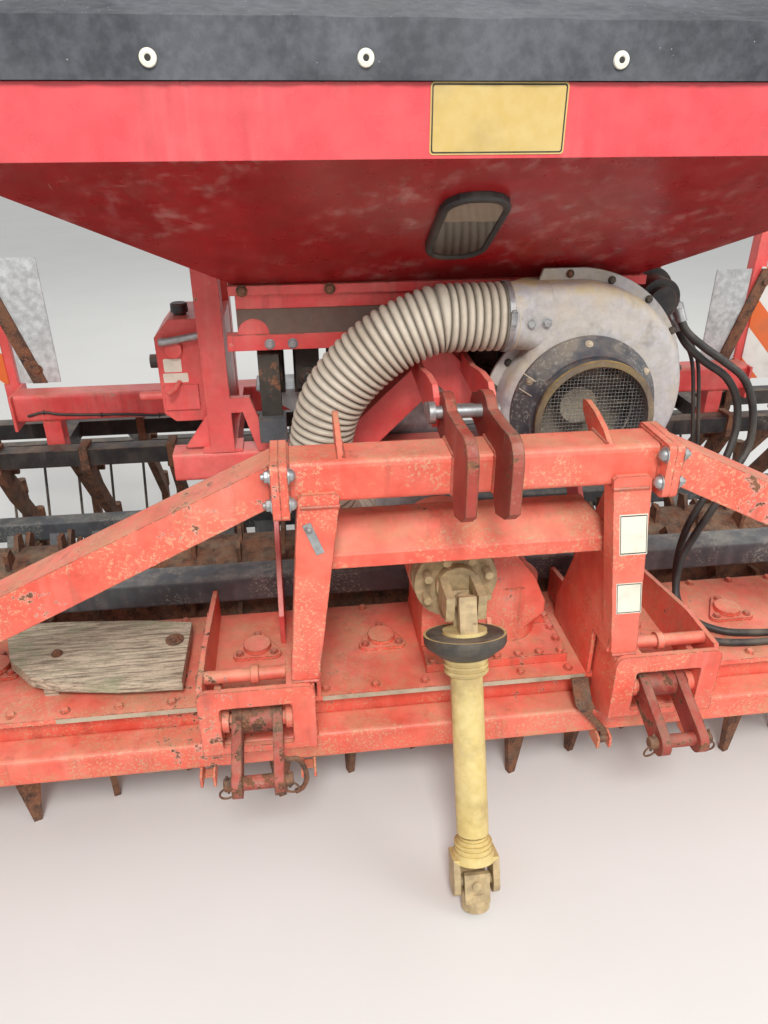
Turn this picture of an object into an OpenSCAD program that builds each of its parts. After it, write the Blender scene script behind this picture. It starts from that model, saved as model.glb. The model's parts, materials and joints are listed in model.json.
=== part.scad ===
// Mounted pneumatic seed drill on a power harrow with a tooth packer roller.
// Millimetres. +Y is to the rear, +X to the right seen from the tractor, +Z up.
// Design heights are above the ground; design depths start at the hitch boxes' front faces.

/* [Harrow] */
// Half of the gear trough's length
trough_half = 1470; // [1420:5:1500]
// Front wall of the gear trough
trough_front = 134; // [134:2:144]
// Rear wall of the gear trough
trough_back = 434; // [424:2:440]
// Underside of the gear trough
trough_low = 255; // [245:5:265]
// Underside of the cover plates
trough_top = 385; // [380:1:390]
// Thickness of the cover plates
cover_t = 6; // [4:0.5:8]
// Overhang of the cover in front of the trough wall
cover_lip = 30; // [20:1:32]
// Radius at which the tines are bolted
tine_r = 92; // [80:1:96]
// Width of a tine at its holder
tine_w = 62; // [50:1:66]
// Thickness of a tine
tine_t = 16; // [12:1:20]
// Radius of a rotor shaft
rotor_shaft_r = 25; // [20:0.5:30]
// Square front beam of the harrow
beam_size = 70; // [60:1:80]
// Top of the front beam
beam_top = 320; // [310:1:330]

/* [Headstock] */
// Half of the crossbeam's length
cross_half = 340; // [335:1:350]
// Front face of the crossbeam
cross_front = 26; // [22:1:30]
// Depth of the crossbeam
cross_deep = 92; // [80:1:100]
// Underside of the crossbeam
cross_low = 903; // [895:1:910]
// Height of the crossbeam
cross_high = 80; // [70:1:90]
// Centre of a lower hitch box
hitch_x = 435; // [425:1:445]
// Height of the yoke pivots
hitch_pivot_z = 410; // [405:1:415]
// Depth of the yoke pivots behind the boxes' front
hitch_pivot_y = 30; // [29:1:31]
// Radius of the lower hitch pins
lower_pin_r = 14.2; // [11:0.1:16]
// Gap between the cheeks of a yoke
yoke_gap = 62; // [50:1:66]
// Radius of the top link pin
top_pin_r = 12.7; // [9.5:0.1:16]
// Gap between the top link ears
ear_gap = 56; // [48:1:60]
// Thickness of a top link ear
ear_t = 20; // [16:1:24]

/* [Roller] */
// Radius over the roller's teeth
roller_r = 230; // [200:1:240]
// Radius of the roller's drum
drum_r = 186; // [160:1:195]
// Depth of the roller's axle
roller_y = 762; // [750:1:780]
// Number of tooth rings
ring_count = 23; // [15:1:25]
// Teeth on one ring
teeth_per_ring = 14; // [10:1:18]
// Radius of the roller's axle
axle_r = 30; // [25:1:35]

/* [Hopper] */
// Half of the hopper's width at its rim
rim_half = 800; // [760:5:840]
// Depth of the hopper at its rim
rim_deep = 1150; // [1100:5:1200]
// Underside of the rim band
band_low = 1459; // [1450:1:1470]
// Height of the rim band
band_high = 96; // [80:1:110]
// Half of the outlet's width
outlet_half = 428; // [420:1:440]
// Front of the outlet
outlet_front = 415; // [405:1:425]
// Rear of the outlet
outlet_back = 735; // [720:1:750]
// Height of the outlet's flange
outlet_z = 1210; // [1205:1:1215]
// Thickness of the hopper's sheet
sheet_t = 6; // [4:0.5:8]

/* [Fan] */
// Sideways place of the fan's axle
fan_x = 278; // [274:1:284]
// Height of the fan's axle
fan_z = 966; // [962:1:970]
// Front face of the fan's housing
fan_front = 270; // [265:1:275]
// Depth of the fan's housing
fan_deep = 104; // [90:1:108]
// Radius of the suction opening
fan_eye_r = 112; // [105:1:114]
// Outer radius of the air hose
hose_r = 68; // [64:1:72]

/* [Drill] */
// Distance between neighbouring coulters of one row
row_pitch = 250; // [240:1:252]
// Front face of the drill's lower beam
drill_beam_front = 505; // [500:1:510]
// Underside of the drill's lower beam
drill_beam_low = 737; // [730:1:745]
// Size of the drill's square tubes
drill_tube = 70; // [60:1:76]
// Half of the lower beam's length
drill_beam_half = 612; // [600:1:630]
// Sideways place of the drill's uprights
upright_x = 494; // [485:1:500]
// Size of the drill's uprights
upright_size = 56; // [50:1:60]
// Front face of the rear beam
rear_beam_front = 1000; // [990:1:1010]
// Half of the rear beam's length
rear_beam_half = 1118; // [1100:1:1130]

/* [Drive shaft] */
// Height of the gearbox input
input_z = 628; // [620:1:636]
// Radius of the outer guard tube
guard_r = 34; // [30:1:36]
// Lean of the parked shaft from upright
shaft_lean = 22.3; // [21:0.1:24]

/* [Hidden] */
$fn = 48;
// Distance of the origin behind the hitch boxes' front faces
origin_y = 721.7;
// Radial clearance of a shaft in its bearing
fit = 0.05;
// Gap between faces that must stay apart
seat = 0.3;
// Clearance of moving pieces
clear = 6;

// Colours
harrow_red = [0.85, 0.36, 0.27];
drill_red = [0.72, 0.10, 0.10];
steel_grey = [0.45, 0.48, 0.50];
rust = [0.42, 0.26, 0.17];
black_paint = [0.10, 0.11, 0.12];
zinc = [0.72, 0.73, 0.72];

beam_back = trough_front - 2;
beam_front = beam_back - beam_size;
cover_top = trough_top + cover_t;
cover_front = trough_front - cover_lip;
rotor_y = (trough_front + trough_back) / 2;
end_t = 10;
arm_t = 12;
end_x = trough_half + end_t;

// Everything is drawn at its design depth and moved once to the part's own origin.
module place() translate([0, -origin_y, 0]) children();
module both() { children(); mirror([1, 0, 0]) children(); }
module block(x0, x1, y0, y1, z0, z1)
  translate([x0, y0, z0]) cube([x1 - x0, y1 - y0, z1 - z0]);
// A plate between two sideways places; its outline is given as [depth, height].
module plate_x(x0, x1, outline)
  translate([x0, 0, 0]) rotate([90, 0, 90]) linear_extrude(x1 - x0) polygon(outline);
// A plate between two depths; its outline is given as [sideways, height].
module plate_y(y0, y1, outline)
  translate([0, y1, 0]) rotate([90, 0, 0]) linear_extrude(y1 - y0) polygon(outline);
module rod_x(x0, x1, y, z, r) translate([x0, y, z]) rotate([0, 90, 0]) cylinder(h = x1 - x0, r = r);
module rod_y(y0, y1, x, z, r) translate([x, y1, z]) rotate([90, 0, 0]) cylinder(h = y1 - y0, r = r);
module rod_z(z0, z1, x, y, r) translate([x, y, z0]) cylinder(h = z1 - z0, r = r);
// Outline with four rounded corners
function corner(a, b, r, from) = [for (t = [from : 30 : from + 90]) [a + r * cos(t), b + r * sin(t)]];
function round_rect(a0, a1, b0, b1, r) = concat(corner(a1 - r, b1 - r, r, 0), corner(a0 + r, b1 - r, r, 90),
  corner(a0 + r, b0 + r, r, 180), corner(a1 - r, b0 + r, r, 270));
// Square tube along the machine's width
module tube_x(x0, x1, y0, y1, z0, z1, wall, r) difference() {
  plate_x(x0, x1, round_rect(y0, y1, z0, z1, r));
  plate_x(x0 - 1, x1 + 1, round_rect(y0 + wall, y1 - wall, z0 + wall, z1 - wall, r / 2));
}

// Harrow: trough, beam and ends.
rotor_count = 10;
// Length of the trough that is left over beside the rotors
rotor_margin = 285;
rotor_pitch = (2 * trough_half - rotor_margin) / (rotor_count - 1);
housing_low = trough_low - 30;
housing_r = 78;
shaft_top = trough_low + 60;
chamfer = 20;
lip_deep = 8;
boss_t = 8;
boss_cap_r = 32;
boss_cap_t = 12;
function rotor_x(i) = (i - (rotor_count - 1) / 2) * rotor_pitch;
// Three-cornered flange of a rotor's bearing
module boss(x) translate([x, rotor_y, 0]) {
  translate([0, 0, cover_top]) linear_extrude(boss_t) polygon([for (k = [90, 210, 330], a = [-50 : 25 : 50])
    [46 * cos(k) + 16 * cos(k + a), 46 * sin(k) + 16 * sin(k + a)]]);
  translate([0, 0, cover_top + boss_t]) cylinder(h = boss_cap_t, r = boss_cap_r);
}
module gear_trough() color(harrow_red) place() difference() {
  union() {
    plate_x(-trough_half, trough_half, [[trough_front + chamfer, trough_low], [trough_front,
        trough_low + chamfer],
      [trough_front, trough_top - lip_deep], [cover_front, trough_top - lip_deep], [cover_front, cover_top],
      [trough_back, cover_top], [trough_back, trough_low + chamfer], [trough_back - chamfer, trough_low]]);
    for (i = [0 : rotor_count - 1]) rod_z(housing_low, trough_low, rotor_x(i), rotor_y, housing_r);
    for (i = [0, 1, 2, 3, 4, 6, 7, 8, 9]) boss(rotor_x(i));
  }
  for (i = [0 : rotor_count - 1])
    rod_z(housing_low - 1, shaft_top + seat, rotor_x(i), rotor_y, rotor_shaft_r + fit);
}
module front_beam() color(harrow_red) place() {
  for (x = [-556, -rest_x, rest_x, 556]) fork(x);
  rod_x(rest_x - 17, rest_x + 17, rest_y, rest_z, 6);
  tube_x(-trough_half, trough_half, beam_front, trough_front, beam_top - beam_size, beam_top, 6, 9);
}
// Fork below the beam; one carries the rest of the drive shaft
module fork(x) {
  for (s = [-1, 1]) plate_x(x + s * 14 - 3, x + s * 14 + 3, [[36, 222], [36, 250], [44, 254],
    [beam_front, 256], [beam_front + 9, beam_top - beam_size], [84, beam_top - beam_size], [84, 222]]);
  block(x - 17, x + 17, 62, 84, 222, 228);
}
module harrow_end() plate_x(trough_half, end_x, [
  [beam_front, beam_top - beam_size], [beam_front, beam_top], [cover_front, cover_top + 40],
  [250, 520], [330, 520], [520, 505], [540, 440], [500, 250], [420, 120], [200, 120]]);
module harrow_ends() color(harrow_red) place() both() harrow_end();

// Rotor with a holder and two knife tines that stand on the ground.
holder_low = housing_low - clear - 26;
module tine() plate_y(-tine_t / 2, tine_t / 2, [[-tine_w / 2, holder_low], [tine_w / 2, holder_low],
  [tine_w / 2 - 2, 120], [tine_w / 2 - 22, 0], [tine_w / 2 - 40, 0], [-tine_w / 2 + 8, 120]]);
module rotor(i) color(rust) place() translate([rotor_x(i), rotor_y, 0]) rotate([0, 0,
    i % 2 == 0 ? 20 : 110]) {
  union() {
    rod_z(holder_low, shaft_top, 0, 0, rotor_shaft_r);
    rod_z(holder_low, holder_low + 26, 0, 0, 58);
    hull() for (s = [-1, 1]) rod_z(holder_low, holder_low + 20, s * tine_r, 0, 34);
    for (a = [0, 180]) rotate([0, 0, a]) translate([tine_r, 0, 0]) rotate([0, 0, 90]) tine();
  }
}
module rotor_1() rotor(0);
module rotor_2() rotor(1);
module rotor_3() rotor(2);
module rotor_4() rotor(3);
module rotor_5() rotor(4);
module rotor_6() rotor(5);
module rotor_7() rotor(6);
module rotor_8() rotor(7);
module rotor_9() rotor(8);
module rotor_10() rotor(9);

// Headstock.
cross_back = cross_front + cross_deep;
cross_top = cross_low + cross_high;
flange_t = 15;
flange_x = cross_half + 2 * flange_t;
flange_low = cross_low - 18;
flange_top = cross_top + 7;
module flange_plate(x) plate_x(x, x + flange_t,
  round_rect(cross_front - 28, cross_back + 12, flange_low, flange_top, 10));
// Fin that rises behind the crossbeam
fin_x = 241;
fin_t = 11;
module headstock_crossbeam() color(harrow_red) place() {
  tube_x(-cross_half, cross_half, cross_front, cross_back, cross_low, cross_top, 8, 12);
  both() {
    flange_plate(cross_half);
    plate_x(fin_x, fin_x + fin_t, [[cross_front + 12, cross_top], [70, cross_top + 18], [120, cross_top + 34],
      [164, cross_top + 41], [180, cross_top + 37], [174, cross_top + 18], [150, cross_top],
      [cross_back, cross_top - 20], [cross_back - 12, cross_top]]);
  }
}
upright_front = 14;
upright_foot = [304, 360];
upright_head = [251, 326];
side_x = 300;
box_top = 513;
fold_back = 60;
fold_t = 8;
// Edge of an upright at a height, 0 for the inner and 1 for the outer one
function upright_edge(k, z) = upright_foot[k]
  + (upright_head[k] - upright_foot[k]) * (z - box_top - fold_t) / (cross_low + 10 - box_top);
module headstock_upright() {
  plate_y(upright_front, cross_front, [[upright_foot[0], box_top + fold_t], [upright_foot[0] + 8, box_top],
    [upright_foot[1] - 8, box_top], [upright_foot[1], box_top + fold_t], [upright_head[1], cross_low + 18],
    [upright_head[1] - 7, cross_low + 25], [upright_head[0] + 7, cross_low + 25], [upright_head[0],
        cross_low + 18]]);
  for (k = [0, 1]) let (low = upright_edge(k, box_top + fold_t) - k * fold_t, high = upright_edge(k,
      cross_low) - k * fold_t)
    plate_y(cross_front, fold_back, [[low, box_top + fold_t], [low + fold_t, box_top + fold_t],
      [high + fold_t, cross_low], [high, cross_low]]);
  plate_x(side_x, side_x + 10, [[cross_front, box_top], [cross_front, cross_low], [cross_back, cross_low],
    [330, cover_top + 60], [330, cover_top], [cover_front, cover_top], [cover_front, box_top]]);
}
module headstock_uprights() color(harrow_red) place() both() headstock_upright();
member_front = 78;
member_low = 732;
member_top = 812;
module headstock_crossmember() color(harrow_red) place() intersection() {
  plate_x(-side_x, side_x, [[member_front, member_low], [member_front, member_low + 28], [member_front + 3,
      member_low + 34],
    [member_front + 66, member_top - 2], [member_front + 72, member_top], [member_front + 100, member_top],
    [member_front + 100, member_top - 8], [member_front + 73, member_top - 8], [member_front + 8,
        member_low + 28],
    [member_front + 8, member_low]]);
  linear_extrude(member_top + 10) polygon([[-side_x, member_front - 1], [side_x, member_front - 1],
    [side_x, member_front + 14], [261, member_front + 69], [261, member_front + 101], [-261,
        member_front + 101],
    [-261, member_front + 69], [-side_x, member_front + 14]]);
}
box_in = 315;
box_out = 549;
box_low = 349;
box_plate = 12;
window_low = 366;
window_top = 470;
window_half = 72;
box_r = 20;
yoke_lean = 66.6;
yoke_len = 130;
yoke_t = 20;
yoke_w = 28;
pivot_r = 15;
lug_t = 14;
// Half of a yoke's whole width
yoke_half = yoke_gap / 2 + yoke_t;
module hitch_box() {
  difference() {
    plate_y(0, box_plate, concat(corner(box_out - box_r, box_top - box_r, box_r, 0),
      corner(box_in + box_r, box_top - box_r, box_r, 90), [[box_in, box_low], [box_out, box_low]]));
    plate_y(-1, box_plate + 1, round_rect(hitch_x - window_half, hitch_x + window_half, window_low,
        window_top, 6));
  }
  for (x = [box_in, box_out - box_plate])
    plate_x(x, x + box_plate, [[box_plate, box_low], [box_plate, box_top - box_r], [box_plate + 10, box_top],
      [150, box_top], [430, 470], [430, cover_top], [cover_front - 1, cover_top],
      [cover_front - 1, beam_top], [beam_front, beam_top]]);
  // Foot of the upright, cross tube with its ring and a second plate outside
  block(box_in + box_plate, upright_foot[1] + 12, box_plate, cover_front - 1, box_top - box_plate, box_top);
  rod_x(box_in + box_plate, box_out - box_plate, 66, box_top - 14, 14);
  rod_x(hitch_x - 8, hitch_x + 8, 66, box_top - 14, 19);
  plate_x(box_out, box_out + 8, [[60, box_low + 20], [60, 440], [110, 480], [350, 462], [350, cover_top],
    [cover_front - 1, cover_top], [cover_front - 1, beam_top]]);
  // Lugs, the fixed pivot pin of the yoke and its spacers
  for (s = [-1, 1]) {
    block(hitch_x + s * (window_half + lug_t / 2) - lug_t / 2,
        hitch_x + s * (window_half + lug_t / 2) + lug_t / 2,
      box_plate, cover_front - 1, window_low, window_top);
    rod_x(hitch_x + s * (window_half + yoke_half + clear) / 2 - (window_half - yoke_half - clear) / 2,
      hitch_x + s * (window_half + yoke_half + clear) / 2 + (window_half - yoke_half - clear) / 2,
      hitch_pivot_y, hitch_pivot_z, pivot_r + 7);
  }
  rod_x(hitch_x - window_half, hitch_x + window_half, hitch_pivot_y, hitch_pivot_z, pivot_r);
}
module hitch_boxes() color(harrow_red) place() both() hitch_box();
pin_y = 142;
pin_z = 1021;
tie_r = 8;
arm_x = ear_gap / 2 + ear_t + seat;
arm_plate = 12;
module ear(x) difference() {
  plate_x(x, x + ear_t, concat(corner(-40, 1004, 40, 90), [[-81, 935], [-81, 915], [-55, 893], [0, 876],
    [cross_front, cross_low], [cross_front, cross_top], [cross_back, cross_top], [cross_back, 962], [190,
        976],
    [226, 988]], [[232, 1010], [222, 1030], [190, 1040], [166, 1054], [142, 1059], [118, 1054], [96, 1040],
        [20, 1040]]));
  rod_x(x - 1, x + ear_t + 1, pin_y, pin_z, top_pin_r + fit);
  rod_x(x - 1, x + ear_t + 1, tie_y, tie_z, tie_r + fit);
}
module top_link_ears() color(rust) place() { ear(ear_gap / 2); ear(-ear_gap / 2 - ear_t); }
module top_link_pin() color(zinc) place() {
  rod_x(-ear_gap / 2, ear_gap / 2, pin_y, pin_z, top_pin_r);
  both() rod_x(ear_gap / 2, ear_gap / 2 + ear_t + 14, pin_y, pin_z, top_pin_r - fit);
  rod_x(-ear_gap / 2 - ear_t - 26, -ear_gap / 2 - ear_t - 14, pin_y, pin_z, 21);
  rod_x(-arm_x - arm_plate - 8, arm_x + arm_plate + 8, tie_y, tie_z, tie_r);
  for (x = [-arm_x - arm_plate - 8, arm_x + arm_plate + 1]) rod_x(x, x + 7, tie_y, tie_z, tie_r + 6);
}
brace_end = trough_half - 30;
brace_leg = 70;
module brace() {
  flange_plate(cross_half + flange_t);
  plate_y(cross_front, cover_front, [[flange_x, cross_top], [brace_end, cover_top + 98],
    [brace_end, beam_top], [brace_end - brace_leg, beam_top], [brace_end - brace_leg, cover_top + 32],
    [flange_x, cross_low]]);
}
module braces() color(harrow_red) place() both() brace();

// Gearbox and input clutch.
base_top = cover_top + 24;
gear_front = 215;
gear_back = 400;
module gearbox() color(harrow_red) place() {
  block(-60, 270, 150, 425, cover_top, base_top);
  plate_y(gear_front, gear_back, [[-62, base_top], [150, base_top], [227, 490], [227, 520], [196, 588],
    [166, input_z], [140, 660], [-62, 660]]);
  rod_y(gear_front - 3, gear_back - 20, 0, input_z, 96);
  rod_y(gear_front - 12, gear_front, 0, input_z, 70);
  rod_y(gear_back, gear_back + 30, 0, input_z, 60);
  rod_z(base_top, 560, 150, 284, 74);
  // Ribs between the casting and its base
  for (x = [0, 90]) plate_x(x, x + 12, [[160, base_top], [gear_front, base_top + 70], [gear_front,
      base_top]]);
  plate_y(270, 282, [[200, base_top], [255, base_top], [222, 480], [200, 480]]);
}
joint_y = 84;
cross_pin_r = 11;
clutch_back = gear_front - 12;
spring_count = 8;
module input_clutch() color(steel_grey) place() difference() {
  union() {
    rod_y(clutch_back - 20, clutch_back, 0, input_z, 92);
    rod_y(clutch_back - 32, clutch_back - 20, 0, input_z, 80);
    rod_y(clutch_back - 44, clutch_back - 32, 0, input_z, 90);
    rod_y(140, clutch_back - 44, 0, input_z, 46);
    for (k = [0 : spring_count - 1]) let (a = 360 * (k + 0.5) / spring_count)
      rod_y(130, clutch_back - 44, 70 * cos(a), input_z + 70 * sin(a), 9);
    both() block(24, 42, joint_y - 28, 140, input_z - 28, input_z + 28);
  }
  rod_x(-50, 50, joint_y, input_z, cross_pin_r + fit);
}
// Shaft along its own line: the joint centre is at zero and the free end is away from it.
module shaft_line() translate([0, joint_y, input_z]) rotate([180 - shaft_lean, 0, 0]) children();
shaft_end_r = 30;
spline_r = 17.4;
shaft_len = (input_z - shaft_end_r * sin(shaft_lean)) / cos(shaft_lean);
hub_len = 42;
slide_r = 26;
guard_end = 498;
module drive_shaft_guard() color([0.85, 0.75, 0.2]) place() shaft_line() difference() {
  union() {
    rod_x(-42, 42, 0, 0, cross_pin_r);
    rod_y(-42, 42, 0, 0, cross_pin_r);
    sphere(r = 21);
    for (s = [-1, 1]) translate([-18, s * 33 - 9, -18]) cube([36, 18, 80]);
    translate([0, 0, 58]) cylinder(h = 10, r = 46);
    translate([0, 0, guard_ring]) cylinder(h = 12, r = 86);
    translate([0, 0, guard_ring + 12]) cylinder(h = 34, r1 = 82, r2 = 46);
    translate([0, 0, guard_ring + 46]) cylinder(h = 38, r = 43);
    for (h = [50, 62, 74]) translate([0, 0, guard_ring + h]) cylinder(h = 6, r = 46);
    translate([0, 0, guard_ring + 84]) cylinder(h = guard_end - guard_ring - 84, r = guard_r);
  }
  translate([0, 0, 160]) cylinder(h = 400, r = slide_r + seat);
}
guard_ring = 66;
collar_at = guard_end + clear;
lower_cross = 606;
// Inner tube with its lower joint; the free hub has the bore for the tractor's stub.
module drive_shaft_slide() color([0.75, 0.66, 0.5]) place() shaft_line() difference() {
  union() {
    translate([0, 0, 200]) cylinder(h = 330, r = slide_r);
    translate([0, 0, collar_at]) cylinder(h = 5, r = 30);
    translate([0, 0, collar_at + 5]) cylinder(h = 27, r1 = 34, r2 = 39);
    for (h = [12, 22]) translate([0, 0, collar_at + h]) cylinder(h = 5, r = 40);
    translate([0, 0, collar_at + 32]) cylinder(h = 18, r1 = 42, r2 = 47);
    for (s = [-1, 1]) translate([s * 42, 0, lower_cross]) rotate([0, 90, 0]) linear_extrude(14,
        center = true) union() {
      circle(r = 28);
      translate([0, -28]) square([lower_cross - collar_at - 40, 56]);
    }
    rod_x(-49, 49, 0, lower_cross, cross_pin_r);
    rod_y(-31, 31, 0, lower_cross, cross_pin_r);
    rod_x(-22, 22, 0, lower_cross, 17);
    for (s = [-1, 1]) translate([-27, s * 21 - 6, lower_cross - 26])
      cube([54, 12, shaft_len - lower_cross + 26 - hub_len / 2]);
    translate([0, 0, shaft_len - hub_len]) cylinder(h = hub_len, r = shaft_end_r);
  }
  translate([0, 0, shaft_len - hub_len]) cylinder(h = hub_len + 1, r = spline_r);
}
// Rest for the drive shaft, hinged in a fork under the front beam and leaning on the cover's lip.
rest_x = 338;
rest_y = 50;
rest_z = 240;
module shaft_rest() color(rust) place() difference() {
  union() {
    rod_x(rest_x - 8, rest_x + 8, rest_y, rest_z, 10);
    intersection() {
      plate_x(250, 350, [[47, 240], [47, 334], [96, 384], [102.5, 381], [53, 329], [53, 240]]);
      plate_y(0, 110, [[rest_x - 8, 240], [rest_x + 8, 240], [rest_x + 8, 264], [303, 320], [303, 384],
          [264, 384],
        [264, 342], [rest_x - 8, 262]]);
    }
  }
  rod_x(rest_x - 20, rest_x + 20, rest_y, rest_z, 6 + fit);
}

// Lower hitch yoke that leans on the sill of its box.
module yoke() translate([hitch_x, hitch_pivot_y, hitch_pivot_z]) rotate([-yoke_lean, 0, 0]) difference() {
  union() {
    rod_x(-yoke_gap / 2, yoke_gap / 2, 0, 0, 26);
    both() rotate([90, 0, 90]) translate([0, 0, yoke_gap / 2]) linear_extrude(yoke_t) hull() {
      circle(r = yoke_w);
      translate([0, -yoke_len]) circle(r = yoke_w);
    }
    rod_x(-yoke_gap / 2 - 1, yoke_gap / 2 + 1, 0, -yoke_len, lower_pin_r);
  }
  rod_x(-yoke_gap, yoke_gap, 0, 0, pivot_r + fit);
}
module hitch_yoke_left() color(rust) place() mirror([1, 0, 0]) yoke();
module hitch_yoke_right() color(rust) place() yoke();

// Tooth packer roller with its arms, levelling beam and scrapers.
roller_z = roller_r;
scraper_y = 968;
module packer_arm() difference() {
  plate_x(end_x, end_x + arm_t, [[300, 330], [300, 400], [480, 505], [700, 480], [1075, 420],
    [1075, 330], [860, 170], [700, 150], [560, 200], [420, 300]]);
  rod_x(end_x - 1, end_x + arm_t + 1, roller_y, roller_z, axle_r + fit);
}
module packer_arms() color(harrow_red) place() both() packer_arm();
ring_pitch = 2 * (trough_half - 30) / ring_count;
module tooth_ring() linear_extrude(12, center = true) difference() {
  polygon([for (k = [0 : teeth_per_ring - 1], c = [[-9, drum_r - 2], [-5, roller_r], [3, roller_r], [8,
      drum_r - 2]])
    let (a = 360 * k / teeth_per_ring + c[0]) [c[1] * cos(a), c[1] * sin(a)]]);
  circle(r = drum_r - 3);
}
module packer_roller() color(rust) place() translate([0, roller_y, roller_z]) {
  difference() {
    rod_x(-trough_half + 4, trough_half - 4, 0, 0, drum_r);
    both() rod_x(trough_half - 44, trough_half, 0, 0, drum_r - 10);
  }
  rod_x(-end_x - arm_t, end_x + arm_t, 0, 0, axle_r);
  for (k = [0 : ring_count - 1]) translate([(k - (ring_count - 1) / 2) * ring_pitch, 0, 0])
    rotate([0, 90, 0]) rotate([0, 0, k * 360 / teeth_per_ring / 4]) tooth_ring();
}
grey_front = 440;
grey_back = 518;
module levelling_beam() color(steel_grey) place()
  tube_x(-trough_half, trough_half, grey_front, grey_back, 425, 496, 5, 8);
// Scraper bar with one blade before each gap between the roller's rings
scraper_low = 345;
scraper_high = 60;
blade_gap = 8;
blade_t = 8;
module scraper_bar() color(steel_grey) place() {
  tube_x(-end_x, end_x, scraper_y, scraper_y + 56, scraper_low, scraper_low + scraper_high, 5, 6);
  for (k = [0 : ring_count - 2]) translate([(k - ring_count / 2 + 1) * ring_pitch, 0, 0])
    plate_x(-30, 30, [[scraper_y, scraper_low + 14], [scraper_y, scraper_low + 24],
        [roller_y + (drum_r + blade_gap) * 0.9,
      roller_z + (drum_r + blade_gap) * 0.436 + blade_t], [roller_y + (drum_r + blade_gap) * 0.9,
      roller_z + (drum_r + blade_gap) * 0.436]]);
}
board_low = 413;
module foot_board() color([0.45, 0.40, 0.32]) place() {
  translate([0, 0, board_low]) linear_extrude(28) polygon([[-597, 137], [-727, 143], [-856, 163], [-924, 188],
    [-985, 254], [-1012, 330], [-1020, 392], [-895, 385], [-815, 378], [-696, 365], [-595, 345]]);
  for (x = [-655, -900]) block(x, x + 30, 180, 340, cover_top, board_low);
}

// Drill frame.
drill_beam_back = drill_beam_front + drill_tube;
drill_beam_top = drill_beam_low + drill_tube;
upright_in = upright_x - upright_size / 2;
upright_out = upright_x + upright_size / 2;
// Height of the hopper's sloping side at a sideways place
function hopper_side_z(x) = outlet_z + (x - outlet_half) * (band_low - outlet_z) / (rim_half - outlet_half);
rear_post_y = 760;
module drill_frame() color(drill_red) place() {
  tube_x(-drill_beam_half, drill_beam_half, drill_beam_front, drill_beam_back, drill_beam_low,
      drill_beam_top, 6, 9);
  both() {
    for (y = [drill_beam_front, rear_post_y]) plate_y(y, y + upright_size, [
      [upright_in, drill_beam_top], [upright_out, drill_beam_top],
      [upright_out, hopper_side_z(upright_out) - seat], [upright_in, hopper_side_z(upright_in) - seat]]);
    block(upright_x - 30, upright_x + 30, drill_beam_back, rear_beam_front, drill_beam_low, drill_beam_top);
    // Foot plate, gusset and sloping arm of each upright
    block(upright_x - 46, upright_x + 46, drill_beam_front + 2, drill_beam_back - 2, drill_beam_top,
        drill_beam_top + 8);
    plate_y(drill_beam_front + 22, drill_beam_front + 32, [[upright_out, drill_beam_top + 8],
      [upright_out + 60, drill_beam_top + 8], [upright_out, drill_beam_top + 90]]);
  }
  plate_y(drill_beam_front, drill_beam_front + 16, [[-upright_in, 905], [-upright_in, 941], [-421, 941],
    [-380, drill_beam_top], [-412, drill_beam_top], [-440, 905]]);
}
tie_y = 205;
tie_z = 1005;
module drill_a_frame() color(drill_red) place() difference() {
  union() {
    difference() {
      translate([0, drill_beam_front, drill_beam_low]) rotate([7, 0, 0]) plate_y(-55, 4, [[-250, -10],
          [-330, -10],
        [-330, 23], [-25, 328], [25, 328], [330, 23], [330, -10], [250, -10], [0, 250]]);
      block(-400, 400, drill_beam_front, drill_beam_front + 20, drill_beam_low - 40, drill_beam_low + 120);
    }
    both() {
      plate_x(arm_x, arm_x + arm_plate, [[168, 982], [158, 1000], [162, 1044], [184, 1062], [250, 1062],
          [330, 1050],
        [450, 1056], [450, 1016], [300, 1000], [236, 984]]);
      plate_x(375, 387, [[300, cover_top], [300, 470], [drill_beam_front, drill_beam_low],
        [drill_beam_front + 70, drill_beam_low], [drill_beam_front + 70, 700], [430, 510], [430, cover_top]]);
    }
    block(-arm_x - arm_plate, arm_x + arm_plate, 430, 450, 1016, 1052);
  }
  rod_x(-arm_x - arm_plate - 1, arm_x + arm_plate + 1, tie_y, tie_z, tie_r + fit);
}

// Hopper.
band_top = band_low + band_high;
module frustum(x0, y0, y1, z0, x1, y2, y3, z1) hull() {
  translate([-x0, y0, z0]) cube([2 * x0, y1 - y0, 0.01]);
  translate([-x1, y2, z1 - 0.01]) cube([2 * x1, y3 - y2, 0.01]);
}
module hopper() color(drill_red) place() difference() {
  union() {
    frustum(outlet_half, outlet_front, outlet_back, outlet_z, rim_half, 2, 2 + rim_deep, band_low);
    block(-rim_half, rim_half, 2, 2 + rim_deep, band_low, band_top);
  }
  frustum(outlet_half - sheet_t, outlet_front + sheet_t, outlet_back - sheet_t, outlet_z - 0.1,
    rim_half - sheet_t, 2 + sheet_t, 2 + rim_deep - sheet_t, band_low + 0.1);
  block(-rim_half + sheet_t, rim_half - sheet_t, 2 + sheet_t, 2 + rim_deep - sheet_t, band_low, band_top + 1);
}
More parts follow.
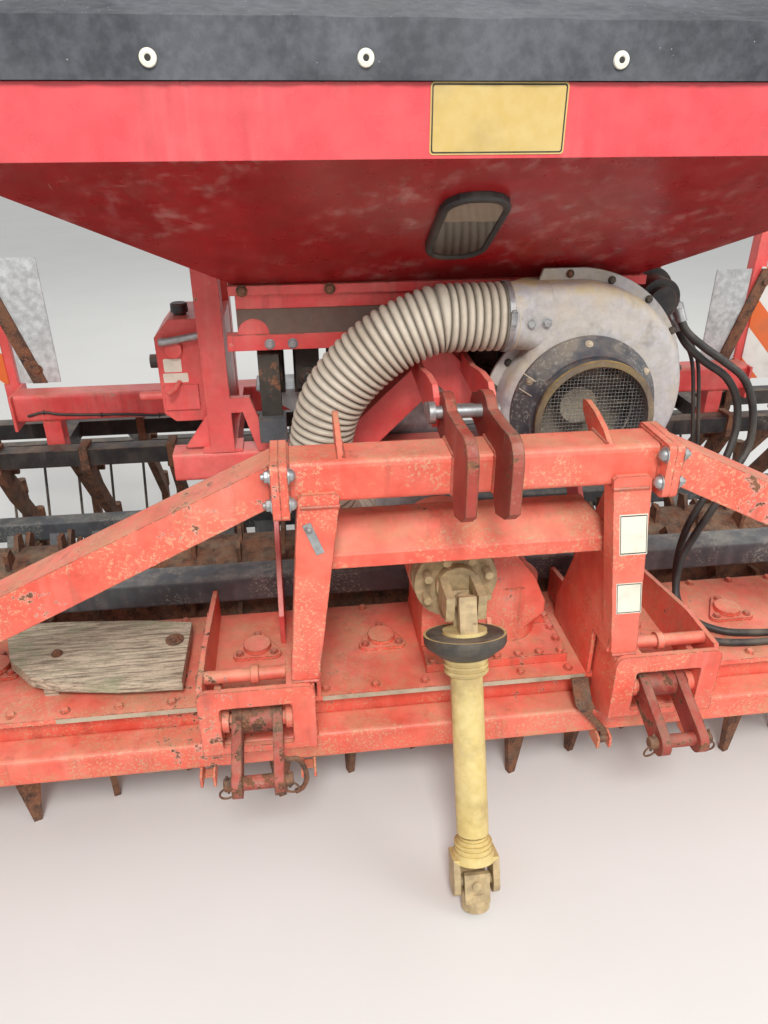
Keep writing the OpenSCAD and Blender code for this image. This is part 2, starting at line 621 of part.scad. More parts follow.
// Frame of the window, set on the hopper's sloping front
slope_tilt = atan2(band_low - outlet_z, outlet_front - 2);
window_w = 118;
window_h = 245;
window_up = 262;
module sight_window() color(black_paint) place() translate([-8, outlet_front,
    outlet_z]) rotate([-slope_tilt, 0, 0])
  translate([0, -window_up, -10]) linear_extrude(9.7)
    polygon(round_rect(-window_w / 2, window_w / 2, -window_h / 2, window_h / 2, 50));
tarp_rise = 150;
module tarpaulin() color([0.2, 0.22, 0.25]) place()
  plate_x(-rim_half - 6, rim_half + 6, [[0, band_top + seat], [-6, band_top + 2], [-6,
      band_top + tarp_rise / 2],
    [300, band_top + tarp_rise], [850, band_top + tarp_rise], [rim_deep + 8, band_top + tarp_rise / 2],
    [rim_deep + 8, band_top + 2], [rim_deep + 2, band_top + seat]]);
// Metering unit under the outlet: folded front, angle with its bolts, and the row of metering housings
unit_low = 1060;
housing_count = 10;
housing_pitch = 82;
module metering_unit() color(drill_red) place() {
  block(-outlet_half - 12, outlet_half + 12, outlet_front - 14, outlet_back + 14, outlet_z - 19, outlet_z);
  block(-outlet_half, outlet_half, outlet_front, outlet_front + 4, 1161, outlet_z - 19);
  block(-outlet_half, outlet_half, outlet_front + 3, outlet_front + 24, 1107, 1161);
  block(-outlet_half - 24, outlet_half, outlet_front, outlet_front + 30, 1074, 1107);
  plate_x(-outlet_half, outlet_half, [[outlet_front + 20, outlet_z - 19], [outlet_front + 24, 1078],
    [482, 1066], [486, unit_low], [680, unit_low], [710, outlet_z - 19]]);
  for (k = [0 : housing_count - 1]) translate([(k - (housing_count - 1) / 2) * housing_pitch, 0, 0]) {
    block(-30, 30, 560, 680, 930, unit_low);
    block(-26, 26, 490, 560, 962, unit_low);
    rod_y(484, 490, 0, 990, 22);
  }
  block(-400, -340, 400, 452, 870, 925);
  block(-392, -348, 420, 492, 925, unit_low);
  for (x = [180, 360]) plate_x(x, x + 12, [[fan_front + fan_deep, unit_low], [fan_front + fan_deep, 1120],
    [outlet_front + 30, 1120], [500, unit_low]]);
}

// Fan and air path.
// The scroll grows from its cut-off at the upper left, round below, to the outlet at the top.
scroll_from = 140;
scroll_turn = 310;
scroll_small = 162;
scroll_grow = 90;
scroll_wall = 8;
scroll_flange = 22;
// Sideways reach and underside of the outlet, from the fan's axle
outlet_reach = 151;
outlet_low = 122;
fan_back = fan_front + fan_deep;
fan_flange = fan_front + 70;
fan_axle_r = 20;
function scroll_r(a) = scroll_small + scroll_grow * (a / scroll_turn) * (3 + a / scroll_turn) / 4;
// Outline of the scroll and its outlet, larger by a given amount
function scroll(extra, reach) = concat([for (a = [0 : 6 : scroll_turn]) let (t = scroll_from + a,
    r = scroll_r(a) + extra)
  [r * cos(t), r * sin(t)]], [[0, scroll_r(scroll_turn) + extra], [-reach, scroll_r(scroll_turn) + extra],
  [-reach, outlet_low]]);
module fan_housing() color([0.62, 0.63, 0.62]) place() translate([fan_x, 0, fan_z]) difference() {
  union() {
    plate_y(fan_front, fan_front + 10, scroll(-10, outlet_reach));
    plate_y(fan_front + 10, fan_back, scroll(0, outlet_reach));
    plate_y(fan_flange, fan_flange + 8, scroll(scroll_flange, outlet_reach));
    rod_x(-outlet_reach, -outlet_reach + 12, (fan_front + fan_back) / 2, hose_z - fan_z, hose_r - 3);
  }
  plate_y(fan_front + scroll_wall, fan_back - scroll_wall, scroll(-18, outlet_reach - scroll_wall));
  rod_y(fan_front - 1, fan_front + scroll_wall + 1, 0, 0, fan_eye_r);
  rod_y(fan_front + 20, fan_back + 1, 0, 0, fan_axle_r);
}
// Ring plate and cone of the suction side, with the short tube that carries the wire guard
ring_r = 155;
cone_front = fan_front - 45;
lip_front = fan_front - 75;
module fan_suction_ring() color(black_paint) place() translate([fan_x, 0, fan_z]) difference() {
  union() {
    rod_y(fan_front - 8, fan_front, 0, 0, ring_r);
    translate([0, fan_front - 8, 0]) rotate([90, 0, 0]) cylinder(h = 37, r1 = ring_r, r2 = fan_eye_r + 14);
    rod_y(lip_front, cone_front, 0, 0, fan_eye_r + 8);
    rod_y(lip_front, lip_front + 8, 0, 0, fan_eye_r + 12);
  }
  rod_y(lip_front - 1, fan_front + 1, 0, 0, fan_eye_r);
}
wire_gap = 28;
wire_t = 4;
guard_y = lip_front + 18;
module fan_guard() color(zinc) place() translate([fan_x, 0, fan_z])
  intersection() {
    for (k = [-3 : 3]) {
      block(k * wire_gap - wire_t / 2, k * wire_gap + wire_t / 2, guard_y, guard_y + 3, -fan_eye_r,
          fan_eye_r);
      block(-fan_eye_r, fan_eye_r, guard_y, guard_y + 3, k * wire_gap - wire_t / 2,
          k * wire_gap + wire_t / 2);
    }
    rod_y(guard_y - 1, guard_y + 4, 0, 0, fan_eye_r - seat);
  }
// Wheel of blades with its shaft and rear pulley.
blade_count = 10;
module fan_impeller() color(zinc) place() translate([fan_x, 0, fan_z]) {
  rod_y(fan_front + 76, fan_front + 84, 0, 0, 136);
  rod_y(fan_front + 30, fan_back + 36, 0, 0, fan_axle_r - fit);
  rod_y(fan_front + 20, fan_front + 76, 0, 0, 40);
  rod_y(fan_back + 14, fan_back + 36, 0, 0, 44);
  for (k = [0 : blade_count - 1]) rotate([0, 360 * k / blade_count, 0]) translate([86, fan_front + 24,
      -3]) cube([48, 53, 6]);
}
// Oil motor on the right upright with its union
motor_z = 1150;
motor_r = 46;
module fan_motor() color(black_paint) place() {
  rod_y(430, drill_beam_front, upright_x, motor_z, motor_r);
  rod_y(drill_beam_front - 10, drill_beam_front, upright_x, motor_z, motor_r + 14);
  rod_y(414, 430, upright_x, motor_z, 30);
  rod_x(upright_x + 20, 535, 445, motor_z - 18, 11);
}

hose_z = 1152;
hose_path = [[fan_x - outlet_reach - seat, 322, hose_z], [10, 322, hose_z], [-40, 322, 1147], [-120, 324,
    1112], [-190, 328, 1055],
  [-242, 334, 985], [-266, 342, 905], [-270, 348, 830], [-262, 352, 765], [-250, 372, 700], [-232, 415, 655],
  [-210, 460, 640], [-200, 490, 640], [-200, 510 - seat, 640]];
function unit(v) = v / norm(v);
function along(p, i) = i == 0 ? unit(p[1] - p[0]) :
  i == len(p) - 1 ? unit(p[i] - p[i - 1]) : unit(p[i + 1] - p[i - 1]);
// A round tube swept along points, each ring square to the path.
module sweep_tube(p, r, sides, up) {
  n = len(p);
  rings = [for (i = [0 : n - 1]) let (d = along(p, i), u = unit(cross(d, up)), w = cross(u, d))
    for (k = [0 : sides - 1]) p[i] + r * (cos(360 * k / sides) * u + sin(360 * k / sides) * w)];
  walls = [for (i = [0 : n - 2], k = [0 : sides - 1]) let (m = (k + 1) % sides)
    each [[i * sides + k, (i + 1) * sides + k, (i + 1) * sides + m], [i * sides + k, (i + 1) * sides + m,
        i * sides + m]]];
  caps = [[for (k = [0 : sides - 1]) k], [for (k = [sides - 1 : -1 : 0]) (n - 1) * sides + k]];
  polyhedron(rings, concat(walls, caps));
}
module air_hose() color([0.62, 0.61, 0.57]) place() sweep_tube(hose_path, hose_r, 24, [0.35, 0.94, 0]);
module injector() color(zinc) place() {
  block(-290, 60, 585, 700, 570, 850);
  plate_y(585, 700, [[-290, 850], [-410, 930], [410, 930], [60, 850]]);
  rod_y(510, 585, -200, 640, 66);
}
tower_y = 1380;
tower_low = 820;
head_z = 1500;
head_r = 190;
outlet_count = 24;
module distributor_tower() color(steel_grey) place() {
  rod_y(700, tower_y - 40, 0, 870, 45);
  rod_z(tower_low, head_z, 0, tower_y, 50);
  rod_z(head_z, head_z + 60, 0, tower_y, head_r);
  rod_z(head_z + 60, head_z + 90, 0, tower_y, 120);
  for (k = [0 : outlet_count - 1]) translate([0, tower_y, head_z + 28]) rotate([0, 0,
      360 * (k + 0.5) / outlet_count])
    rod_x(head_r - 5, head_r + 34, 0, 0, 15);
  block(-20, 20, 2 + rim_deep, tower_y - 40, 1470, 1490);
}
box_inner = upright_x - upright_size / 2;
box_front = drill_beam_front + upright_size;
module drive_box() color(drill_red) place() {
  plate_y(box_front, 740, [[-625, 890], [-625, 1070], [-590, 1110], [-box_inner, 1110], [-box_inner, 870],
      [-600, 870]]);
  // Filler cap, side knob, lever tube and the lid's edge
  rod_y(box_front - 14, box_front, -585, 1045, 20);
  rod_x(-650, -625, box_front + 60, 1000, 16);
  plate_y(box_front - 6, box_front, [[-618, 900], [-618, 960], [-540, 960], [-540, 900]]);
  rod_x(-680, -625, box_front + 30, 925, 11);
}

// Rear beam, coulters and covering harrow.
rear_beam_low = 721;
rear_beam_back = rear_beam_front + 80;
board_y = rear_beam_back + 11;
module rear_beam() color(drill_red) place() {
  tube_x(-rear_beam_half, rear_beam_half, rear_beam_front, rear_beam_back, rear_beam_low,
      rear_beam_low + 80, 6, 9);
  both() {
    block(1000, 1050, rear_beam_front, rear_beam_front + 50, 600, rear_beam_low);
    block(rear_beam_half, rear_beam_half + 8, rear_beam_front - 15, 1135, 700, rear_beam_low + 80);
    block(rear_beam_half + 8, rear_beam_half + 48, board_y + 4, board_y + 44, 700, 1240);
    block(1010, 1100, rear_beam_back, board_y - 6, 740, 790);
  }
}
bar_low = 600;
bar_high = 50;
bar_1 = rear_beam_front - 55;
bar_2 = 1180;
hinge_x = 880;
harrow_hinge_y = 1300;
harrow_hinge_z = 620;
module coulter_bars() color(black_paint) place() {
  for (y = [bar_1, bar_2]) block(-1440, 1440, y, y + bar_high, bar_low, bar_low + bar_high);
  both() {
    block(1000, 1050, rear_beam_front + 50, bar_2, bar_low, bar_low + bar_high);
    block(1000, 1050, bar_1 + bar_high, rear_beam_front, bar_low, bar_low + bar_high);
    difference() {
      plate_x(hinge_x, hinge_x + 14, [[bar_2 + bar_high, bar_low - 10], [bar_2 + bar_high,
          bar_low + bar_high],
        [harrow_hinge_y + 24, harrow_hinge_z + 24], [harrow_hinge_y + 24, harrow_hinge_z - 24]]);
      rod_x(hinge_x - 1, hinge_x + 20, harrow_hinge_y, harrow_hinge_z, 10);
    }
    rod_x(hinge_x, hinge_x + 44, harrow_hinge_y, harrow_hinge_z, 10);
  }
}
// Seed coulter: clamp round the bar, arm with its spring, and the boot that opens the furrow
module coulter(x, y) translate([x, y, 0]) difference() {
  union() {
    plate_x(-12, 12, [[-10, 590], [-10, 660], [60, 660], [60, 592], [100, 500], [250, 300], [240, 200],
        [250, 40],
      [215, 30], [180, 60], [215, 280], [60, 470]]);
    rod_x(-30, 30, 78, 560, 9);
    rod_z(300, 352, 0, 242, 17);
  }
  block(-13, 13, 0, bar_high, bar_low, bar_low + bar_high);
}
coulter_count = 12;
module coulter_row(y, side) for (k = [0 : coulter_count - 1])
  coulter((k - (coulter_count - 1) / 2) * row_pitch + side * row_pitch / 4, y);
module coulters_front() color(rust) place() coulter_row(bar_1, -1);
module coulters_rear() color(rust) place() coulter_row(bar_2, 1);
tine_lean = 20;
module cover_harrow() color(black_paint) place() {
  both() difference() {
    plate_x(hinge_x + 20, hinge_x + 32, [[harrow_hinge_y - 26, harrow_hinge_z - 20],
      [harrow_hinge_y - 26, harrow_hinge_z + 26], [harrow_hinge_y + 26, harrow_hinge_z + 26], [1600, 410],
      [1600, 370], [harrow_hinge_y + 10, harrow_hinge_z - 34]]);
    rod_x(hinge_x, hinge_x + 40, harrow_hinge_y, harrow_hinge_z, 10 + fit);
  }
  block(-1450, 1450, 1600, 1640, 370, 410);
  for (k = [0 : 23]) translate([(k - 11.5) * 122, 1620, 380]) rotate([180 - tine_lean, 0, 0])
    cylinder(h = 375, r = 5, $fn = 16);
}
module road_board_pair(low) {
  block(1003, rear_beam_half - seat, board_y, board_y + 4, low, low + 355);
  block(1150, 1430, board_y, board_y + 4, low, low + 360);
  plate_y(board_y - 6, board_y, [[1040, low], [1080, low], [1190, low + 355], [1150, low + 355]]);
}
module road_boards() color(zinc) place() {
  road_board_pair(728);
  mirror([1, 0, 0]) road_board_pair(811);
}
hose_a = [[545, 440, 1130], [560, 420, 1085], [600, 400, 1050], [654, 390, 1015], [706, 380, 974],
  [737, 370, 903], [738, 355, 821], [707, 340, 765], [667, 325, 682], [626, 315, 608], [595, 300, 548],
  [584, 280, 482], [580, 235, 430], [600, 185, 407], [650, 160, 401], [720, 150, 400.2], [800, 150, 400.2],
      [880, 150, 406]];
hose_b = [[545, 455, 1105], [575, 435, 1050], [620, 418, 1010], [673, 405, 975], [706, 395, 923],
  [712, 380, 854], [690, 362, 780], [650, 345, 700], [618, 340, 620], [606, 335, 548], [604, 322, 482],
  [606, 290, 430], [630, 240, 405], [680, 200, 400.2], [740, 185, 400.2], [810, 180, 400.2], [880, 180, 406]];
module fan_hoses() color(black_paint) place() {
  sweep_tube(hose_a, 9, 8, [1, 0, 0.3]);
  sweep_tube(hose_b, 9, 8, [1, 0, 0.3]);
}

gear_trough();
front_beam();
harrow_ends();
headstock_crossbeam();
headstock_uprights();
headstock_crossmember();
hitch_boxes();
top_link_ears();
top_link_pin();
braces();
gearbox();
input_clutch();
drive_shaft_guard();
drive_shaft_slide();
hitch_yoke_left();
hitch_yoke_right();
rotor_1();
rotor_2();
rotor_3();
rotor_4();
rotor_5();
rotor_6();
rotor_7();
rotor_8();
rotor_9();
rotor_10();
packer_arms();
packer_roller();
levelling_beam();
scraper_bar();
foot_board();
drill_frame();
drill_a_frame();
hopper();
sight_window();
tarpaulin();
metering_unit();
fan_housing();
fan_suction_ring();
fan_guard();
fan_impeller();
fan_motor();
air_hose();
injector();
distributor_tower();
drive_box();
rear_beam();
coulter_bars();
coulters_front();
coulters_rear();
cover_harrow();
road_boards();
fan_hoses();
shaft_rest();
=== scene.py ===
"""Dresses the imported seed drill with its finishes, cloth, hoses and small fittings.

Lengths in metres are in the part's own frame. Places that come from the machine's drawing are written in
millimetres and go through SubAssembly.spot, which counts depth from the hitch boxes' front faces.
"""

from __future__ import annotations

import json
import logging
import math
from dataclasses import dataclass
from enum import Enum
from typing import Callable, Iterable, Sequence

import bmesh
import bpy
import numpy as np
from mathutils import Matrix, Vector, noise

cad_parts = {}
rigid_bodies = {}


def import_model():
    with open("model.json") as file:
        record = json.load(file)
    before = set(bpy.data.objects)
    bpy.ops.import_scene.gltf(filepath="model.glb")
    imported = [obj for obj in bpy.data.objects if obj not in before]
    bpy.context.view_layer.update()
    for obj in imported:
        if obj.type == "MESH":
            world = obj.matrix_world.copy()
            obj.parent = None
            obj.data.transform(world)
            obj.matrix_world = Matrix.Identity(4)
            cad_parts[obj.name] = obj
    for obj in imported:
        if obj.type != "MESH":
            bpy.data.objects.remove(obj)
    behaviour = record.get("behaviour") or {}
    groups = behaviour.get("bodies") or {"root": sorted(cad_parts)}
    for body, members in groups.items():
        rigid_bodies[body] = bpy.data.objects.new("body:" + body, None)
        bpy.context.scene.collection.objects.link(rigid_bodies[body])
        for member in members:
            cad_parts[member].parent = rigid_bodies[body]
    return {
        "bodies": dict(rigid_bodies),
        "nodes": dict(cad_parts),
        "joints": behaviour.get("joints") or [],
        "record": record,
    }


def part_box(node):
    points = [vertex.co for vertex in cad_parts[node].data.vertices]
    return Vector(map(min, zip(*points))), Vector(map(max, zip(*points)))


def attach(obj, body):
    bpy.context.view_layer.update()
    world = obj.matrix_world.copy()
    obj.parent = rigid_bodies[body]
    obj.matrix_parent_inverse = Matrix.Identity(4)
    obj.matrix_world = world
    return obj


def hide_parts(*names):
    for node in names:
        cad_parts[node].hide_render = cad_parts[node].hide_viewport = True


LOG = logging.getLogger("seed_drill")
MM = 0.001
SMOOTH_ANGLE = math.radians(34)
QUARTER = math.pi / 2
LINE_DEPTH = (0, -0.2 * MM, 0)
SIDES = ((-1, "left"), (1, "right"))
UP = (0, 0, 1)
AHEAD = (0, -1, 0)
Colour = tuple[float, float, float]
Place = tuple[float, float, float]
Pair = tuple[float, float]
Socket = bpy.types.NodeSocket


def rgba(colour: Colour) -> tuple[float, float, float, float]:
    """Returns the colour with full opacity."""
    return (*colour, 1.0)


def srgb(red: int, green: int, blue: int) -> Colour:
    """Returns a display colour, with channels from 0 to 255, as the linear one that shaders use."""
    shares = [value / 255 for value in (red, green, blue)]
    return tuple(share / 12.92 if share <= 0.04045 else ((share + 0.055) / 1.055) ** 2.4 for share in shares)


def dimmed(colour: Colour, factor: float) -> Colour:
    """Returns the colour with each channel times a factor."""
    return tuple(channel * factor for channel in colour)


class Tree:
    """A node tree with short calls that add nodes and join them."""

    def __init__(self, tree: bpy.types.NodeTree) -> None:
        """Wraps the tree of a material or of a node group."""
        self.tree = tree
        self.place: Socket | None = None

    def give(self, socket: Socket, value: object) -> None:
        """Links a socket to another one, or sets its value.

        Args:
            socket: The input that is fed.
            value: An output socket, a number, a colour or a vector.
        """
        if isinstance(value, Socket):
            self.tree.links.new(value, socket)
        elif isinstance(value, tuple) and len(value) == 3 and socket.type == "RGBA":
            socket.default_value = rgba(value)
        else:
            socket.default_value = value

    def node(self, kind: str, inputs: dict[str | int, object] | None = None,
             **settings: object) -> bpy.types.Node:
        """Adds a node.

        Args:
            kind: Blender's name of the node type, without ShaderNode in front.
            inputs: Values or sockets for its inputs, by their names or numbers.
            **settings: The node's own properties.

        Returns:
            The new node.
        """
        made = self.tree.nodes.new("ShaderNode" + kind)
        for name, value in settings.items():
            setattr(made, name, value)
        for name, value in (inputs or {}).items():
            self.give(made.inputs[name], value)
        return made

    def math(self, operation: str, first: object, second: object = 0.0, clamp: bool = False) -> Socket:
        """Adds a Math node and returns its result."""
        return self.node("Math", {0: first, 1: second}, operation=operation, use_clamp=clamp).outputs[0]

    def times(self, first: object, second: object, clamp: bool = False) -> Socket:
        """Multiplies two values."""
        return self.math("MULTIPLY", first, second, clamp)

    def plus(self, first: object, second: object, clamp: bool = False) -> Socket:
        """Adds two values."""
        return self.math("ADD", first, second, clamp)

    def minus(self, first: object, second: object) -> Socket:
        """Subtracts the second value from the first."""
        return self.math("SUBTRACT", first, second)

    def most(self, first: object, second: object) -> Socket:
        """Returns the larger of two values."""
        return self.math("MAXIMUM", first, second)

    def weigh(self, first: object, weight: float, second: object, other: float) -> Socket:
        """Adds two values, each times its weight."""
        return self.plus(self.times(first, weight), self.times(second, other))

    def mix(self, share: object, first: object, second: object, blend: str = "MIX") -> Socket:
        """Mixes two colours."""
        parts = {0: share, 6: first, 7: second}
        return self.node("Mix", parts, data_type="RGBA", blend_type=blend).outputs[2]

    def blend(self, share: object, first: object, second: object) -> Socket:
        """Mixes two values."""
        return self.node("Mix", {0: share, 2: first, 3: second}, data_type="FLOAT").outputs[0]

    def span(self, value: object, low: object, high: object) -> Socket:
        """Maps the stretch from low to high smoothly onto 0 to 1."""
        ends = {"Value": value, "From Min": low, "From Max": high}
        return self.node("MapRange", ends, interpolation_type="SMOOTHSTEP").outputs["Result"]

    def noise(self, scale: object, detail: float = 4.0, rough: float = 0.55, at: object = None) -> Socket:
        """Adds a noise texture, at the tree's own place if no other is given, and returns its value."""
        look = {"Vector": at or self.place, "Scale": scale, "Detail": detail, "Roughness": rough}
        return self.node("TexNoise", look).outputs[0]

    def stretched(self, scale: Place, turn: Place = (0.0, 0.0, 0.0)) -> Socket:
        """Scales the tree's own place by a factor for each axis, after a turn."""
        return self.node("Mapping", {"Vector": self.place, "Scale": scale, "Rotation": turn}).outputs[0]

    def axis(self, vector: object, name: str) -> Socket:
        """Returns one coordinate of a vector."""
        return self.node("SeparateXYZ", {"Vector": vector}).outputs[name]

    def rise(self) -> Socket:
        """Returns the upward share of the surface's normal."""
        return self.axis(self.node("NewGeometry").outputs["Normal"], "Z")


class Group(Tree):
    """A shader node group that works on coordinates, given as its input Place."""

    def __init__(self, name: str, outputs: dict[str, str] | None = None, **inputs: float) -> None:
        """Starts the group.

        Args:
            name: The group's name.
            outputs: The outputs with their socket types; one mask, if left out.
            **inputs: The other inputs with their defaults.
        """
        super().__init__(bpy.data.node_groups.new(name, "ShaderNodeTree"))
        sockets = self.tree.interface
        sockets.new_socket(name="Place", in_out="INPUT", socket_type="NodeSocketVector")
        for label, value in inputs.items():
            socket = sockets.new_socket(name=label, in_out="INPUT", socket_type="NodeSocketFloat")
            socket.default_value = value
        for label, kind in (outputs or {"Mask": "NodeSocketFloat"}).items():
            sockets.new_socket(name=label, in_out="OUTPUT", socket_type=kind)
        self.given = self.tree.nodes.new("NodeGroupInput").outputs
        self.made = self.tree.nodes.new("NodeGroupOutput").inputs
        self.place = self.given["Place"]

    def put(self, *values: object) -> bpy.types.NodeTree:
        """Feeds the outputs in their order.

        Args:
            *values: A value for each output.

        Returns:
            The finished group.
        """
        for socket, value in zip(self.made, values):
            self.give(socket, value)
        return self.tree


class Effects(dict[str, bpy.types.NodeTree]):
    """The shader node groups that the finishes share, by name, each built once."""

    def __init__(self) -> None:
        """Builds all groups."""
        super().__init__(edges=self._edges(), clouds=self._clouds(), runs=self._runs(), flakes=self._flakes(),
                         corrosion=self._corrosion(), dust=self._dust(), scuffs=self._scuffs(),
                         specks=self._specks(), upward=self._upward(), splash=self._splash())

    @staticmethod
    def _edges() -> bpy.types.NodeTree:
        """Builds worn convex edges: where the surface bends sharply, broken up by noise.

        Returns:
            The group.
        """
        group = Group("worn_edges", Width=0.004, Breakup=0.5, Scale=60.0)
        softened = group.node("Bevel", {"Radius": group.given["Width"]}, samples=4).outputs[0]
        plain = group.node("NewGeometry").outputs["Normal"]
        turn = group.node("VectorMath", {0: softened, 1: plain}, operation="DOT_PRODUCT")
        bent = group.span(turn.outputs["Value"], 0.995, 0.86)
        rough = group.noise(group.given["Scale"], 5.0, 0.65)
        limit = group.given["Breakup"]
        cut = group.span(rough, group.minus(limit, 0.08), group.plus(limit, 0.05))
        return group.put(group.times(bent, cut, clamp=True))

    @staticmethod
    def _clouds() -> bpy.types.NodeTree:
        """Builds large soft patches, such as sun fading.

        Returns:
            The group.
        """
        group = Group("clouds", Scale=3.0, Low=0.35, High=0.68)
        soft = group.noise(group.given["Scale"], 6.0, 0.6)
        return group.put(group.span(soft, group.given["Low"], group.given["High"]))

    @staticmethod
    def _runs() -> bpy.types.NodeTree:
        """Builds streaks that water leaves down a wall.

        Returns:
            The group.
        """
        group = Group("water_runs", Scale=1.0, Low=0.5, High=0.8)
        line = group.noise(group.given["Scale"], 5.0, 0.6, group.stretched((38.0, 38.0, 3.0)))
        patch = group.span(group.noise(5.0, 3.0), 0.4, 0.62)
        streak = group.span(line, group.given["Low"], group.given["High"])
        return group.put(group.times(streak, patch, clamp=True))

    @staticmethod
    def _flakes() -> bpy.types.NodeTree:
        """Builds spots where the paint has come off.

        Returns:
            The group.
        """
        group = Group("paint_flakes", Scale=26.0, Cover=0.3)
        spots = group.noise(group.given["Scale"], 7.0, 0.7)
        where = group.noise(2.6, 3.0, 0.5)
        limit = group.minus(0.8, group.times(group.given["Cover"], 0.3))
        return group.put(group.span(group.weigh(spots, 0.7, where, 0.42), limit, group.plus(limit, 0.02)))

    @staticmethod
    def _corrosion() -> bpy.types.NodeTree:
        """Builds rust colours with their pitted height.

        Returns:
            The group.
        """
        group = Group("corrosion", {"Color": "NodeSocketColor", "Height": "NodeSocketFloat"}, Scale=30.0)
        coarse = group.noise(group.given["Scale"], 6.0, 0.65)
        fine = group.noise(group.times(group.given["Scale"], 7.0), 5.0, 0.7)
        dark = group.mix(group.span(coarse, 0.36, 0.6), srgb(66, 44, 36), srgb(122, 78, 54))
        light = group.mix(group.span(fine, 0.5, 0.72), dark, srgb(162, 112, 78))
        return group.put(light, group.weigh(coarse, 0.6, fine, 0.4))

    @staticmethod
    def _dust() -> bpy.types.NodeTree:
        """Builds soil and dust that lie on what faces up and in corners.

        Returns:
            The group.
        """
        group = Group("settled_dust", Scale=14.0, Amount=0.5)
        up = group.span(group.rise(), 0.1, 0.95)
        patches = group.span(group.noise(group.given["Scale"], 7.0, 0.68), 0.38, 0.66)
        share = group.times(group.plus(group.times(up, 0.8), 0.2), patches)
        return group.put(group.times(share, group.given["Amount"], clamp=True))

    @staticmethod
    def _scuffs() -> bpy.types.NodeTree:
        """Builds thin scratches in two directions.

        Returns:
            The group.
        """
        group = Group("scuffs", Scale=1.0, Cover=0.5)
        limit = group.minus(0.78, group.times(group.given["Cover"], 0.14))
        lines = []
        for scale, turn in (((14.0, 14.0, 420.0), (0.0, 0.7, 0.2)), ((380.0, 24.0, 16.0), (0.0, 0.5, 0.9))):
            scratch = group.noise(group.given["Scale"], 3.0, 0.5, group.stretched(scale, turn))
            lines.append(group.span(scratch, limit, 0.82))
        where = group.span(group.noise(4.0, 3.0), 0.46, 0.62)
        return group.put(group.times(group.most(*lines), where, clamp=True))

    @staticmethod
    def _specks() -> bpy.types.NodeTree:
        """Builds small spots of uneven size in patches, such as lichen and dried splashes.

        Returns:
            The group.
        """
        group = Group("specks", Scale=90.0, Size=0.45, Share=0.4)
        size = group.minus(0.68, group.times(group.given["Size"], 0.2))
        fine = group.noise(group.given["Scale"], 6.0, 0.75)
        spot = group.span(fine, size, group.plus(size, 0.035))
        limit = group.minus(0.72, group.times(group.given["Share"], 0.4))
        where = group.span(group.noise(7.0, 4.0, 0.6), limit, group.plus(limit, 0.1))
        return group.put(group.times(spot, where, clamp=True))

    @staticmethod
    def _upward() -> bpy.types.NodeTree:
        """Builds how far a surface faces the sky, broken up by soft noise.

        Returns:
            The group.
        """
        group = Group("upward", Scale=6.0)
        up = group.span(group.rise(), -0.1, 0.9)
        soft = group.span(group.noise(group.given["Scale"], 5.0, 0.6), 0.3, 0.62)
        return group.put(group.times(up, group.plus(group.times(soft, 0.6), 0.4)))

    @staticmethod
    def _splash() -> bpy.types.NodeTree:
        """Builds soil thrown up from the ground, which thins out with height.

        Returns:
            The group.
        """
        group = Group("soil_splash", Low=0.1, High=0.55)
        near = group.span(group.axis(group.place, "Z"), group.given["High"], group.given["Low"])
        coarse, fine = group.noise(9.0, 6.0, 0.7), group.noise(75.0, 5.0, 0.7)
        limit = group.minus(0.66, group.times(near, 0.3))
        spots = group.span(group.weigh(coarse, 0.6, fine, 0.4), limit, group.plus(limit, 0.14))
        return group.put(group.times(spots, near))


class Surface(Tree):
    """A material's tree with its shader, its coordinates and the colour that is painted so far."""

    def __init__(self, name: str, colour: Colour, effects: Effects) -> None:
        """Starts the material.

        Args:
            name: The material's name.
            colour: The colour under everything else.
            effects: The shared groups.
        """
        self.material = bpy.data.materials.new(name)
        self.material.use_nodes = True
        self.material.diffuse_color = rgba(colour)
        super().__init__(self.material.node_tree)
        self.shader = self.tree.nodes["Principled BSDF"]
        self.place = self.node("TexCoord").outputs["Object"]
        self.colour: object = colour
        self.effects = effects

    def use(self, effect: str, **inputs: float) -> Socket:
        """Places a shared group with its own values and returns its first output."""
        return self.node("Group", {"Place": self.place, **inputs}, node_tree=self.effects[effect]).outputs[0]

    def lay(self, mask: object, over: object, amount: float = 1.0, blend: str = "MIX") -> object:
        """Lays a colour over what is painted so far.

        Args:
            mask: Where it lies.
            over: The colour.
            amount: How strongly it covers.
            blend: Blender's name of the way in which the colours mix.

        Returns:
            The mask times the amount.
        """
        share = mask if amount == 1.0 else self.times(mask, amount)
        self.colour = self.mix(share, self.colour, over, blend)
        return share

    def shade(self, **inputs: object) -> None:
        """Feeds the painted colour and other values to the shader, with underscores for spaces."""
        for name, value in {"Base_Color": self.colour, **inputs}.items():
            self.give(self.shader.inputs[name.replace("_", " ")], value)

    def emboss(self, height: object, depth: float, round_edges: float = 0.0) -> None:
        """Feeds the shader's normal from a height.

        Args:
            height: The height, from 0 to 1.
            depth: What a height of 1 measures, in metres.
            round_edges: Radius that sharp edges are shaded with, in metres.
        """
        bump = self.node("Bump", {"Distance": depth, "Height": height, "Strength": 1.0})
        if round_edges:
            rounding = self.node("Bevel", {"Radius": round_edges}, samples=3)
            self.give(bump.inputs["Normal"], rounding.outputs[0])
        self.shade(Normal=bump.outputs[0])


